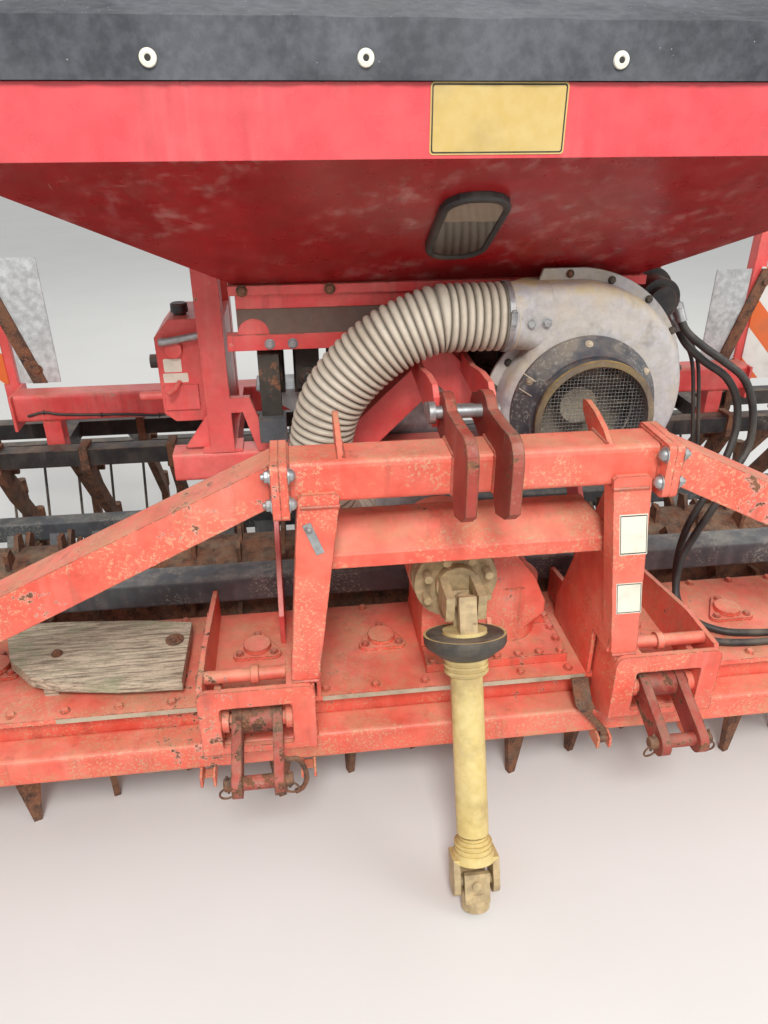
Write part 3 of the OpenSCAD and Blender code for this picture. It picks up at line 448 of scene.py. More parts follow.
@dataclass(frozen=True)
class Finish:
    """What every finish has: the plain colour and how rough it is."""

    colour: Colour
    roughness: float = 0.5

    def make(self, name: str, effects: Effects) -> bpy.types.Material:
        """Makes the material in this finish.

        Args:
            name: The finish's name.
            effects: The shared groups.

        Returns:
            The new material.
        """
        surface = Surface(f"{name}_aged", self.colour, effects)
        self.fill(surface)
        return surface.material

    def fill(self, surface: Surface) -> None:
        """Paints the surface from the shared groups, in each kind's own way."""
        raise NotImplementedError


@dataclass(frozen=True)
class Paint(Finish):
    """Old machine paint: faded, streaked, chipped to rust and dusty."""

    faded: Colour = (0.5, 0.2, 0.1)
    fade: float = 0.5
    shadow: Colour = srgb(178, 160, 156)
    uneven: float = 0.5
    streak_colour: Colour = srgb(226, 200, 190)
    streaks: float = 0.15
    scratches: float = 0.3
    grime: float = 0.4
    grime_colour: Colour = srgb(70, 58, 48)
    lichen: float = 0.2
    lichen_colour: Colour = srgb(176, 176, 158)
    chips: float = 0.3
    chip_scale: float = 26.0
    rim: Colour = srgb(206, 168, 150)
    rim_width: float = 0.07
    edge_width: float = 0.004
    edge_breakup: float = 0.5
    dust: float = 0.4
    dust_colour: Colour = srgb(158, 142, 120)
    soil: float = 0.0

    def fill(self, surface: Surface) -> None:
        """Paints the layers from the oldest to the newest.

        Args:
            surface: The material's surface.
        """
        mottle = surface.use("clouds", Scale=21.0, Low=0.3, High=0.75)
        cast = surface.weigh(surface.use("clouds", Scale=3.2), 0.4, mottle, 0.25)
        sun = surface.times(surface.use("upward"), 0.55)
        surface.lay(surface.plus(cast, sun), self.faded, self.fade)
        tone = surface.span(surface.noise(11.0, 7.0, 0.68), 0.36, 0.64)
        surface.lay(tone, self.shadow, self.uneven, "MULTIPLY")
        pale = surface.use("runs", Scale=0.7, Low=0.46, High=0.78)
        surface.lay(pale, self.streak_colour, self.streaks)
        surface.lay(surface.use("scuffs", Cover=self.scratches), self.rim, self.scratches)
        surface.lay(surface.use("runs"), self.grime_colour, self.grime)
        surface.lay(surface.use("specks", Scale=260.0, Share=self.grime), self.grime_colour, 0.6)
        lichen = surface.use("specks", Scale=150.0, Size=0.7, Share=self.lichen)
        surface.lay(lichen, self.lichen_colour, 0.5)
        flakes, rims = (surface.use("flakes", Scale=self.chip_scale, Cover=self.chips + extra)
                        for extra in (0.0, self.rim_width))
        surface.lay(rims, self.rim, 0.7)
        edges = surface.use("edges", Width=self.edge_width, Breakup=self.edge_breakup)
        bare = surface.most(flakes, edges)
        rust = surface.use("corrosion")
        surface.lay(bare, rust)
        covered = surface.use("dust", Amount=self.dust)
        if self.soil:
            covered = surface.most(covered, surface.times(surface.use("splash"), self.soil))
        surface.lay(covered, self.dust_colour)
        dull = surface.weigh(covered, 0.4, bare, 0.35)
        patchy = surface.times(surface.minus(mottle, 0.5), 0.12)
        surface.shade(Roughness=surface.plus(surface.plus(dull, patchy), self.roughness, clamp=True))
        layer = surface.times(surface.minus(1.0, bare), 0.7)
        pits = surface.times(surface.times(rust.node.outputs["Height"], bare), 0.5)
        grain = surface.times(surface.noise(900.0, 2.0), 0.12)
        surface.emboss(surface.plus(surface.plus(layer, pits), grain), 0.0006, 0.0025)


@dataclass(frozen=True)
class Steel(Finish):
    """Bare or galvanised steel with rust, dirt and dust."""

    metal: float = 0.8
    rust: float = 0.3
    rust_scale: float = 30.0
    dirt: float = 0.3
    dirt_colour: Colour = srgb(96, 84, 70)
    dust: float = 0.3
    dust_colour: Colour = srgb(150, 136, 114)
    spangle: float = 0.0
    spangle_colour: Colour = srgb(214, 218, 219)
    bump: float = 0.0008

    def fill(self, surface: Surface) -> None:
        """Paints the mottled metal, its rust, dirt and dust.

        Args:
            surface: The material's surface.
        """
        mottle = surface.use("clouds", Scale=48.0, Low=0.3, High=0.7)
        surface.lay(mottle, dimmed(self.colour, 0.62))
        if self.spangle:
            cells = surface.node("TexVoronoi", {"Vector": surface.place, "Scale": 120.0})
            flat = surface.node("RGBToBW", {"Color": cells.outputs["Color"]}).outputs[0]
            surface.lay(flat, self.spangle_colour, self.spangle)
        rust = surface.use("corrosion", Scale=self.rust_scale)
        flakes = surface.lay(surface.use("flakes", Scale=self.rust_scale * 0.7, Cover=self.rust), rust)
        stain = surface.use("clouds", Scale=9.0, Low=0.45, High=0.72)
        dirt = surface.lay(stain, self.dirt_colour, self.dirt)
        dust = surface.lay(surface.use("dust", Amount=self.dust), self.dust_colour)
        covered = surface.most(surface.most(flakes, dirt), dust)
        surface.shade(Metallic=surface.blend(covered, self.metal, 0.0),
                      Roughness=surface.blend(covered, self.roughness, 0.85))
        surface.emboss(surface.weigh(rust.node.outputs["Height"], 0.6, mottle, 0.2), self.bump, 0.002)


@dataclass(frozen=True)
class Polymer(Finish):
    """Rubber, plastic or coated fabric: bleached, grimy, finely grained."""

    bleached: Colour = (0.2, 0.2, 0.2)
    bleach: float = 0.4
    dirt: float = 0.4
    dirt_colour: Colour = srgb(108, 94, 74)
    dirt_scale: float = 9.0
    dust: float = 0.3
    dust_colour: Colour = srgb(150, 140, 122)
    grain: float = 700.0
    bump: float = 0.0003
    specks: float = 0.0
    speck_colour: Colour = srgb(196, 192, 184)
    # Near black that is laid into a hose's grooves as painted shade
    groove_shade_colour: Colour = srgb(52, 46, 40)

    def fill(self, surface: Surface) -> None:
        """Paints the bleached stuff, its specks, dirt, painted shade in the grooves, and dust.

        Args:
            surface: The material's surface.
        """
        mottle = surface.use("clouds", Scale=60.0, Low=0.32, High=0.7)
        share = surface.weigh(surface.use("clouds", Scale=5.0), 0.6, mottle, 0.4)
        surface.lay(share, self.bleached, self.bleach)
        if self.specks:
            cells = surface.node("TexVoronoi", {"Vector": surface.place, "Scale": 130.0})
            flat = surface.node("RGBToBW", {"Color": cells.outputs["Color"]}).outputs[0]
            spot = surface.span(cells.outputs["Distance"], 0.16, 0.05)
            surface.lay(surface.times(spot, surface.span(flat, 0.62, 0.7)), self.speck_colour, self.specks)
        stain = surface.use("clouds", Scale=self.dirt_scale, Low=0.48, High=0.7)
        dirt = surface.lay(stain, self.dirt_colour, self.dirt)
        # The hose's grooves are darkened by their depth: painted shade.
        groove = surface.node("Attribute", attribute_name="groove").outputs["Fac"]
        surface.lay(groove, self.groove_shade_colour, 0.85)
        dust = surface.lay(surface.use("dust", Amount=self.dust), self.dust_colour)
        surface.shade(Roughness=surface.blend(surface.most(dirt, dust), self.roughness, 0.9))
        grain = surface.noise(self.grain, 3.0)
        surface.emboss(surface.weigh(grain, 0.4, mottle, 0.6), self.bump)


@dataclass(frozen=True)
class Casting(Finish):
    """Sand-cast aluminium: pale grey oxide with a yellowish film of chaff dust above."""

    film: Colour = srgb(196, 174, 118)
    film_amount: float = 0.9
    tan: float = 0.45
    tan_colour: Colour = srgb(186, 168, 138)
    stain: Colour = srgb(96, 92, 84)
    metal: float = 0.12

    def fill(self, surface: Surface) -> None:
        """Paints the oxide, its stains and the film.

        Args:
            surface: The material's surface.
        """
        mottle = surface.use("clouds", Scale=70.0, Low=0.3, High=0.72)
        surface.lay(mottle, dimmed(self.colour, 0.8))
        surface.lay(surface.use("clouds", Scale=16.0, Low=0.52, High=0.72), self.stain, 0.5)
        surface.lay(surface.use("specks", Scale=210.0, Size=0.5, Share=0.8), self.film, 0.35)
        surface.lay(surface.use("clouds", Scale=4.2, Low=0.44, High=0.66), self.tan_colour, self.tan)
        film = surface.lay(surface.use("dust", Amount=self.film_amount, Scale=12.0), self.film)
        surface.shade(Metallic=surface.blend(film, self.metal, 0.0),
                      Roughness=surface.blend(film, self.roughness, 0.88))
        sand = surface.noise(320.0, 4.0, 0.6)
        surface.emboss(surface.weigh(sand, 0.7, mottle, 0.3), 0.0007, 0.004)


@dataclass(frozen=True)
class Timber(Finish):
    """A weathered plank with cracks along its grain and lichen."""

    dark: Colour = srgb(122, 110, 92)
    lichen: Colour = srgb(150, 156, 122)
    turn: Place = (0.0, 0.0, 0.1)

    def fill(self, surface: Surface) -> None:
        """Paints the grain, the pits, the cracks and the lichen.

        Args:
            surface: The material's surface.
        """
        grain = surface.noise(1.0, 9.0, 0.72, surface.stretched((12.0, 150.0, 150.0), self.turn))
        fine = surface.noise(1.0, 5.0, 0.65, surface.stretched((40.0, 520.0, 520.0), self.turn))
        surface.colour = surface.mix(surface.span(grain, 0.36, 0.6), self.dark, self.colour)
        surface.lay(surface.span(surface.noise(120.0, 6.0, 0.7), 0.54, 0.64), self.dark, 0.45)
        surface.lay(surface.span(fine, 0.6, 0.72), self.dark)
        surface.lay(surface.use("clouds", Scale=13.0, Low=0.52, High=0.66), self.lichen, 0.55)
        surface.shade(Roughness=self.roughness)
        surface.emboss(surface.weigh(grain, 0.75, fine, 0.25), 0.004, 0.004)


@dataclass(frozen=True)
class Stripes(Finish):
    """A warning board's sheet with slanting stripes, dulled by weather."""

    second: Colour = srgb(226, 224, 216)
    stain: Colour = srgb(120, 112, 96)
    dust_colour: Colour = srgb(150, 140, 120)
    width: float = 0.1

    def fill(self, surface: Surface) -> None:
        """Paints the stripes, which rise at 45 degrees, and the dirt.

        Args:
            surface: The material's surface.
        """
        across = surface.plus(surface.axis(surface.place, "Z"), surface.axis(surface.place, "X"))
        turn = surface.math("FRACT", surface.math("DIVIDE", across, 2.0 * self.width))
        middle = surface.math("ABSOLUTE", surface.minus(turn, 0.5))
        surface.lay(surface.span(middle, 0.245, 0.255), self.second)
        stain = surface.use("clouds", Scale=11.0, Low=0.46, High=0.72)
        surface.lay(stain, self.stain, 0.3)
        surface.lay(surface.use("dust", Amount=0.3), self.dust_colour)
        surface.shade(Roughness=surface.blend(stain, self.roughness, 0.8))


@dataclass(frozen=True)
class SeedGlass(Finish):
    """A window's pane with seed behind it up to a level line, and dust above."""

    above: Colour = srgb(126, 108, 88)
    level: float = 1.358
    blur: float = 0.0015
    # How far below the level the glinting grains start to show, and show fully
    grains: Pair = (0.06, 0.085)
    glint: Colour = srgb(196, 186, 168)

    def fill(self, surface: Surface) -> None:
        """Paints the seed, the dusty part above it and the grains that glint.

        Args:
            surface: The material's surface.
        """
        height = surface.axis(surface.place, "Z")
        wavy = surface.plus(height, surface.times(surface.noise(24.0, 2.0), 0.006))
        upper = surface.span(wavy, self.level - self.blur, self.level + self.blur)
        cloudy = surface.mix(surface.noise(30.0, 5.0), self.above, dimmed(self.above, 0.7))
        surface.lay(surface.noise(16.0, 5.0), dimmed(self.colour, 0.45))
        surface.lay(upper, cloudy)
        low = surface.span(height, self.level - self.grains[0], self.level - self.grains[1])
        specks = surface.use("specks", Scale=170.0, Size=0.3, Share=0.75)
        surface.lay(surface.times(specks, low), self.glint)
        surface.shade(Roughness=surface.blend(upper, self.roughness, 0.4),
                      Coat_Weight=0.6, Coat_Roughness=0.12)


class Slot(Enum):
    """The record's material slots, by the finish that each piece takes."""

    HARROW_PAINT = "harrow_paint"
    DRILL_PAINT = "drill_paint"
    GREY_PAINT = "grey_paint"
    BLACK_PAINT = "black_paint"
    RUSTY_STEEL = "rusty_steel"
    ZINC = "zinc"
    CAST_ALUMINIUM = "cast_aluminium"
    GUARD_PLASTIC = "guard_plastic"
    SHAFT_STEEL = "shaft_steel"
    PVC_SHEET = "pvc_sheet"
    HOSE_PLASTIC = "hose_plastic"
    HOSE_RUBBER = "hose_rubber"
    BLACK_RUBBER = "black_rubber"
    WEATHERED_WOOD = "weathered_wood"
    BOARD_SHEET = "board_sheet"


class Coat(Enum):
    """Finishes of details, which are told apart from the slot of the piece that carries them."""

    YELLOW_PLATE = "yellow_plate"
    CREAM_LABEL = "cream_label"
    BLACK_LINE = "black_line"
    STRIPED_SHEET = "striped_sheet"
    WINDOW_PANE = "window_pane"
    FAN_RING = "fan_ring"
    FAN_LIP = "fan_lip"
    FAN_INSIDE = "fan_inside"
    HOPPER_BAND = "hopper_band"
    HOPPER_SLOPE = "hopper_slope"
    SHADED_METAL = "shaded_metal"
    SHAFT_RUBBER = "shaft_rubber"
    DIRTY_SEAM = "dirty_seam"
    DUSTY_BAND = "dusty_band"
    WELD = "weld"
    RUSTY_RED = "rusty_red"
    WORN_TUBE = "worn_tube"


FINISHES: dict[Slot | Coat, Finish] = {
    Slot.HARROW_PAINT: Paint(
        srgb(232, 84, 64), 0.5, faded=srgb(246, 158, 134), fade=0.8, chips=0.36, chip_scale=38.0,
        dust_colour=srgb(190, 158, 116), scratches=0.6, lichen=0.7, lichen_colour=srgb(200, 184, 144),
        soil=0.6, uneven=0.3, edge_breakup=0.48),
    Slot.DRILL_PAINT: Paint(
        srgb(228, 54, 58), 0.38, faded=srgb(244, 144, 134), fade=0.7, chips=0.2, dust=0.35,
        dust_colour=srgb(186, 158, 122), edge_breakup=0.55, scratches=0.35, lichen=0.1, soil=0.6,
        uneven=0.3),
    Slot.GREY_PAINT: Paint(
        srgb(70, 76, 82), 0.6, faded=srgb(120, 124, 124), fade=0.6, rim=srgb(130, 126, 118), dust=0.6,
        dust_colour=srgb(156, 150, 138), lichen=0.6, soil=0.6),
    Slot.BLACK_PAINT: Paint(
        srgb(30, 31, 34), 0.45, faded=srgb(72, 72, 72), rim=srgb(96, 88, 78), chips=0.25, dust=0.5,
        lichen=0.3, soil=0.5),
    Slot.RUSTY_STEEL: Steel(srgb(112, 84, 66), 0.7, metal=0.25, rust=1.4, dirt=0.5, dust=0.4),
    Slot.ZINC: Steel(srgb(178, 180, 180), 0.42, metal=0.75, rust=0.12, dirt=0.35, dust=0.25, spangle=0.25),
    Slot.CAST_ALUMINIUM: Casting(srgb(184, 182, 184), 0.62),
    Slot.GUARD_PLASTIC: Polymer(
        srgb(206, 180, 108), 0.5, bleached=srgb(232, 214, 158), bleach=0.75, dirt=0.6, dust=0.35,
        dirt_colour=srgb(150, 124, 82), specks=0.3),
    Slot.SHAFT_STEEL: Steel(srgb(204, 178, 134), 0.6, metal=0.15, rust_scale=70.0, dirt=0.4, dust=0.4),
    Slot.PVC_SHEET: Polymer(
        srgb(50, 52, 57), 0.82, bleached=srgb(104, 105, 110), bleach=0.75, dirt=0.25,
        dirt_colour=srgb(78, 77, 75), dust=0.12, dust_colour=srgb(120, 118, 112), specks=0.6),
    Slot.HOSE_PLASTIC: Polymer(
        srgb(188, 177, 158), 0.6, bleached=srgb(216, 206, 188), bleach=0.6, dirt=0.35,
        dirt_colour=srgb(140, 124, 100), dust=0.25),
    Slot.HOSE_RUBBER: Polymer(srgb(30, 30, 31), 0.5, bleached=srgb(66, 64, 60), dirt=0.3, dust=0.4),
    Slot.BLACK_RUBBER: Polymer(srgb(26, 26, 27), 0.5, bleached=srgb(60, 58, 56), dirt=0.3),
    Slot.WEATHERED_WOOD: Timber(srgb(206, 192, 166), 0.85),
    Slot.BOARD_SHEET: Steel(srgb(214, 220, 219), 0.5, metal=0.0, rust=0.05, dirt=0.2, dust=0.15),
    Coat.YELLOW_PLATE: Polymer(
        srgb(190, 160, 88), 0.4, bleached=srgb(208, 186, 132), bleach=0.6, dirt=0.2, dust=0.1, bump=0.0001),
    Coat.CREAM_LABEL: Polymer(
        srgb(226, 220, 200), 0.45, bleached=srgb(240, 236, 224), bleach=0.5, dirt=0.35, dust=0.1,
        bump=0.0001),
    Coat.BLACK_LINE: Polymer(srgb(32, 30, 28), 0.5, bleached=srgb(60, 56, 50), bleach=0.3, dust=0.1),
    Coat.STRIPED_SHEET: Stripes(srgb(226, 104, 40), 0.45),
    Coat.WINDOW_PANE: SeedGlass(srgb(58, 40, 30), 0.2),
    Coat.FAN_RING: Paint(
        srgb(50, 55, 64), 0.45, faded=srgb(104, 108, 112), fade=0.55, rim=srgb(140, 132, 116), chips=0.12,
        dust=0.5, lichen=0.75, lichen_colour=srgb(160, 164, 156)),
    Coat.FAN_LIP: Paint(
        srgb(98, 90, 78), 0.6, faded=srgb(140, 130, 108), rim=srgb(150, 134, 104), dust=1.0,
        dust_colour=srgb(196, 166, 84), lichen=0.4),
    Coat.FAN_INSIDE: Casting(
        srgb(178, 166, 146), 0.7, film=srgb(150, 132, 100), film_amount=0.4, tan=0.8,
        tan_colour=srgb(176, 150, 112)),
    Coat.HOPPER_BAND: Paint(
        srgb(214, 74, 80), 0.3, faded=srgb(226, 118, 118), fade=0.4, uneven=0.2, chips=0.05, dust=0.15,
        edge_breakup=0.7, scratches=0.5, lichen=0.05, streaks=0.1, grime=0.25),
    # The slopes' darker red is painted shade on the same paint as the band; their streaks and scratches are
    # wear.
    Coat.HOPPER_SLOPE: Paint(
        srgb(150, 14, 22), 0.32, faded=srgb(158, 46, 48), fade=0.4, chips=0.0, dust=0.2, edge_breakup=0.7,
        scratches=0.75, lichen=0.03, streaks=0.25, grime=0.35, uneven=0.35),
    Coat.SHADED_METAL: Steel(srgb(66, 60, 54), 0.75, metal=0.2, rust=0.5, dirt=0.6, dust=0.6),
    Coat.SHAFT_RUBBER: Polymer(
        srgb(34, 33, 32), 0.6, bleached=srgb(96, 90, 82), bleach=0.6, dirt=0.3, dust=0.5),
    Coat.DIRTY_SEAM: Polymer(
        srgb(176, 160, 136), 0.85, bleached=srgb(206, 192, 168), bleach=0.6, dirt=0.6, dust=0.5,
        grain=300.0, bump=0.001),
    Coat.DUSTY_BAND: Polymer(
        srgb(104, 84, 74), 0.85, bleached=srgb(128, 106, 94), bleach=0.6, dirt=0.5,
        dirt_colour=srgb(118, 48, 42), dirt_scale=6.0, dust=0.4, bump=0.0004),
    Coat.WELD: Paint(
        srgb(206, 78, 58), 0.5, faded=srgb(226, 140, 116), fade=0.7, chips=0.45, chip_scale=60.0, dust=0.5),
    Coat.RUSTY_RED: Paint(
        srgb(158, 50, 40), 0.6, faded=srgb(188, 94, 76), fade=0.6, chips=0.72, chip_scale=34.0,
        rim=srgb(168, 96, 76), dust=0.35, lichen=0.3, grime=0.7, edge_breakup=0.4, edge_width=0.006),
    Coat.WORN_TUBE: Polymer(
        srgb(176, 150, 96), 0.6, bleached=srgb(198, 178, 128), bleach=0.6, dirt=0.9,
        dirt_colour=srgb(122, 100, 66), dirt_scale=26.0, specks=0.5),
}


class Head(Enum):
    """Kinds of fastener heads."""

    HEX = "hex"
    DOME = "dome"
    NUT = "nut"


def corner_arcs(corners: Iterable[tuple[float, float, float]], steps: int) -> list[Pair]:
    """Returns an outline with a quarter circle at each of four corners, starting at the upper right.

    Args:
        corners: Both coordinates of each arc's centre, and its radius.
        steps: Points on each arc.

    Returns:
        The outline's points.
    """
    return [(a + radius * math.cos(turn), b + radius * math.sin(turn))
            for quarter, (a, b, radius) in enumerate(corners)
            for turn in np.linspace(quarter * QUARTER, (quarter + 1) * QUARTER, steps)]


def rounded(low_a: float, high_a: float, low_b: float, high_b: float, radius: float) -> list[Pair]:
    """Returns the outline of a rectangle with round corners.

    Args:
        low_a: Lowest first coordinate.
        high_a: Highest first coordinate.
        low_b: Lowest second coordinate.
        high_b: Highest second coordinate.
        radius: The corners' radius.

    Returns:
        The outline's points.
    """
    left, right, lower, upper = low_a + radius, high_a - radius, low_b + radius, high_b - radius
    return corner_arcs(((right, upper, radius), (left, upper, radius), (left, lower, radius),
                        (right, lower, radius)), 8)


def smooth_path(points: Sequence[Sequence[float]], step: float) -> np.ndarray:
    """Runs a smooth curve through points and spaces new points evenly on it.

    Args:
        points: The points that the curve passes through.
        step: The distance between the new points.

    Returns:
        The new points, one row each.
    """
    given = np.asarray(points, float)
    padded = np.vstack([2 * given[0] - given[1], given, 2 * given[-1] - given[-2]])
    dense = []
    shares = np.linspace(0, 1, 24, endpoint=False)[:, None]
    for before, start, end, after in zip(padded, padded[1:], padded[2:], padded[3:]):
        bend = 2 * before - 5 * start + 4 * end - after
        twist = 3 * start - before - 3 * end + after
        dense.append(0.5 * (2 * start + (end - before) * shares + bend * shares**2 + twist * shares**3))
    line = np.vstack([*dense, given[-1]])
    lengths = np.concatenate([[0], np.cumsum(np.linalg.norm(np.diff(line, axis=0), axis=1))])
    places = np.linspace(0, lengths[-1], max(2, round(lengths[-1] / step) + 1))
    return np.array([np.interp(places, lengths, line[:, axis]) for axis in range(3)]).T


class Shape:
    """Faces gathered from simple forms, in the part's frame."""

    def __init__(self) -> None:
        """Starts with nothing."""
        self.points: list[np.ndarray] = []
        self.faces: list[tuple[int, ...]] = []
        self.count = 0

    def put(self, points: np.ndarray, faces: Iterable[Sequence[int]]) -> None:
        """Adds points and the faces between them.

        Args:
            points: One row for each point.
            faces: Each face's points, counted from the first row.
        """
        self.points.append(np.asarray(points, float))
        self.faces += [tuple(index + self.count for index in face) for face in faces]
        self.count += len(points)

    def loft(self, rings: Sequence[Sequence[Sequence[float]]], capped: bool = True) -> None:
        """Joins rings of as many points into a skin.

        Args:
            rings: The rings, each a row of points.
            capped: Whether the first and last ring are closed.
        """
        skin = np.array(rings, float)
        rows, sides, _ = skin.shape
        faces: list[Sequence[int]] = []
        for row in range(rows - 1):
            for side in range(sides):
                after = (side + 1) % sides
                faces.append((row * sides + side, row * sides + after,
                              (row + 1) * sides + after, (row + 1) * sides + side))
        if capped:
            faces.append(tuple(range(sides - 1, -1, -1)))
            faces.append(tuple((rows - 1) * sides + side for side in range(sides)))
        self.put(skin.reshape(-1, 3), faces)

    def tube(self, path: Sequence[Sequence[float]], radii: Sequence[float] | float, sides: int = 12) -> None:
        """Sweeps a circle along a path.

        Args:
            path: The path's points.
            radii: One radius, or one for each point.
            sides: Points round the tube.
        """
        path = np.array(path, float)
        steps = np.gradient(path, axis=0)
        steps /= np.linalg.norm(steps, axis=1)[:, None]
        sizes = np.broadcast_to(np.asarray(radii, float), (len(path),))
        side_way = np.cross(steps[0], (0.31, 0.2, 0.93))
        angles = np.linspace(0, 2 * math.pi, sides, endpoint=False)
        rings = []
        for point, step, size in zip(path, steps, sizes):
            side_way = side_way - step * (side_way @ step)
            side_way /= np.linalg.norm(side_way)
            other = np.cross(step, side_way)
            circle = np.cos(angles)[:, None] * side_way + np.sin(angles)[:, None] * other
            rings.append(point + size * circle)
        self.loft(rings)

    def lathe(self, centre: Sequence[float], axis: Sequence[float], profile: Sequence[Pair],
              sides: int = 24, capped: bool = True) -> None:
        """Turns a profile about an axis.

        Args:
            centre: Where the axis starts.
            axis: The axis' direction.
            profile: Pairs of distance along the axis and radius.
            sides: Points round the form.
            capped: Whether the first and last circle are closed.
        """
        way = Vector(axis).normalized()
        first = way.orthogonal().normalized()
        second = way.cross(first)
        angles = np.linspace(0, 2 * math.pi, sides, endpoint=False)
        circle = np.cos(angles)[:, None] * np.array(first) + np.sin(angles)[:, None] * np.array(second)
        self.loft([np.array(centre) + along * np.array(way) + max(radius, 1e-6) * circle
                   for along, radius in profile], capped)

    def disc(self, centre: Sequence[float], axis: Sequence[float], low: float, high: float, radius: float,
             sides: int) -> None:
        """Adds a plain round or many-sided block, between two distances along its axis."""
        self.lathe(centre, axis, [(low, 0), (low, radius), (high, radius), (high, 0)], sides)

    def box(self, low: Sequence[float], high: Sequence[float]) -> None:
        """Adds a block between two opposite corners."""
        corners = ((low[0], low[1]), (high[0], low[1]), (high[0], high[1]), (low[0], high[1]))
        self.loft([[(x, y, z) for x, y in corners] for z in (low[2], high[2])])

    def slab(self, outline: Sequence[Sequence[float]], depth: Sequence[float]) -> None:
        """Pushes an outline out along a depth."""
        base = np.array(outline, float)
        self.loft([base, base + np.array(depth)])

    def border(self, outer: Sequence[Sequence[float]], inner: Sequence[Sequence[float]],
               depth: Sequence[float]) -> None:
        """Adds the flat ring between two outlines with as many points, as thick as the depth."""
        far, near = np.array(outer, float), np.array(inner, float)
        self.loft([far, far + np.array(depth), near + np.array(depth), near, far], capped=False)

    def ring(self, centre: Sequence[float], axis: Sequence[float], radius: float, wire: float,
             sides: int = 28) -> None:
        """Adds a closed wire ring."""
        profile = [(wire * math.sin(turn), radius + wire * math.cos(turn))
                   for turn in np.linspace(0, 2 * math.pi, 11)]
        self.lathe(centre, axis, profile, sides, capped=False)

    def bolt(self, centre: Sequence[float], axis: Sequence[float], radius: float, head: Head) -> None:
        """Adds a fastener's head with its washer.

        Args:
            centre: Where it sits on the surface.
            axis: The direction in which the head points.
            radius: Half of the head's width.
            head: The head's kind.
        """
        seat = np.array(centre, float)
        out = np.array(Vector(axis).normalized())
        base = 0.22 * radius
        self.disc(seat, axis, 0, base, 1.3 * radius, 16)
        if head is Head.DOME:
            arc = [(base + 0.95 * radius * math.sin(turn), radius * math.cos(turn))
                   for turn in np.linspace(0, QUARTER, 6)]
            self.lathe(seat, axis, [(base, 0), *arc], 16)
            return
        high = 0.75 * radius
        self.lathe(seat, axis, [(base, 0), (base, radius), (base + 0.85 * high, radius),
                                (base + high, 0.84 * radius), (base + high, 0)], 6)
        if head is Head.NUT:
            shank = [(0, 0), (0, 0.52), (0.45, 0.52), (0.5, 0.4), (0.5, 0)]
            self.lathe(seat + out * (base + high), axis, [(a * radius, b * radius) for a, b in shank], 12)

    def weld(self, start: Sequence[float], end: Sequence[float], size: float = 0.0035) -> None:
        """Adds a weld bead between two places, with its scales.

        Args:
            start: Where it starts.
            end: Where it ends.
            size: The bead's radius.
        """
        first, last = np.array(start, float), np.array(end, float)
        steps = max(6, round(float(np.linalg.norm(last - first)) / 0.003))
        path = first + np.linspace(0, 1, steps)[:, None] * (last - first)
        sizes = [size * (1 + 0.16 * (index % 3) + 0.18 * noise.noise(Vector(point) * 90))
                 for index, point in enumerate(path)]
        self.tube(path, sizes, 6)

    def piece(self, name: str) -> bpy.types.Object:
        """Makes the object.

        Args:
            name: The piece's name.

        Returns:
            The object, shaded smooth apart from its sharp edges.
        """
        mesh = bpy.data.meshes.new(name)
        mesh.from_pydata([tuple(point) for point in np.concatenate(self.points)], [], self.faces)
        mesh.validate()
        work = bmesh.new()
        work.from_mesh(mesh)
        bmesh.ops.remove_doubles(work, verts=work.verts, dist=2e-6)
        bmesh.ops.recalc_face_normals(work, faces=work.faces)
        work.to_mesh(mesh)
        work.free()
        mesh.polygons.foreach_set("use_smooth", [True] * len(mesh.polygons))
        mesh.set_sharp_from_angle(angle=SMOOTH_ANGLE)
        made = bpy.data.objects.new(name, mesh)
        bpy.context.scene.collection.objects.link(made)
        return made


@dataclass
class Machine:
    """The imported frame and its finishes."""

    frame: dict
    effects: Effects
    materials: dict[Slot | Coat, bpy.types.Material]
    front: float

    @classmethod
    def load(cls) -> Machine:
        """Loads the frame and builds every finish.

        Returns:
            The machine, with each node in the finish that its record names.
        """
        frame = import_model()
        effects = Effects()
        materials = {slot: finish.make(slot.value, effects) for slot, finish in FINISHES.items()}
        for part in frame["record"]["subparts"]:
            mesh = frame["nodes"][part["node"]].data
            mesh.materials.clear()
            mesh.materials.append(materials[Slot(part["material_slot"])])
        return cls(frame, effects, materials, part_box("hitch_boxes")[0].y)

    def repaint(self, node: str, coat: Slot | Coat,
                where: Callable[[Vector], bool] = lambda spot: True) -> None:
        """Gives some faces of a node another finish.

        Args:
            node: The node's name.
            coat: The finish of those faces.
            where: Tells from a face's centre on the drawing, in millimetres, whether it is one of them.
        """
        mesh = self.frame["nodes"][node].data
        mesh.materials.append(self.materials[coat])
        last = len(mesh.materials) - 1
        for face in mesh.polygons:
            place = face.center / MM
            if where(Vector((place.x, place.y - self.front / MM, place.z))):
                face.material_index = last


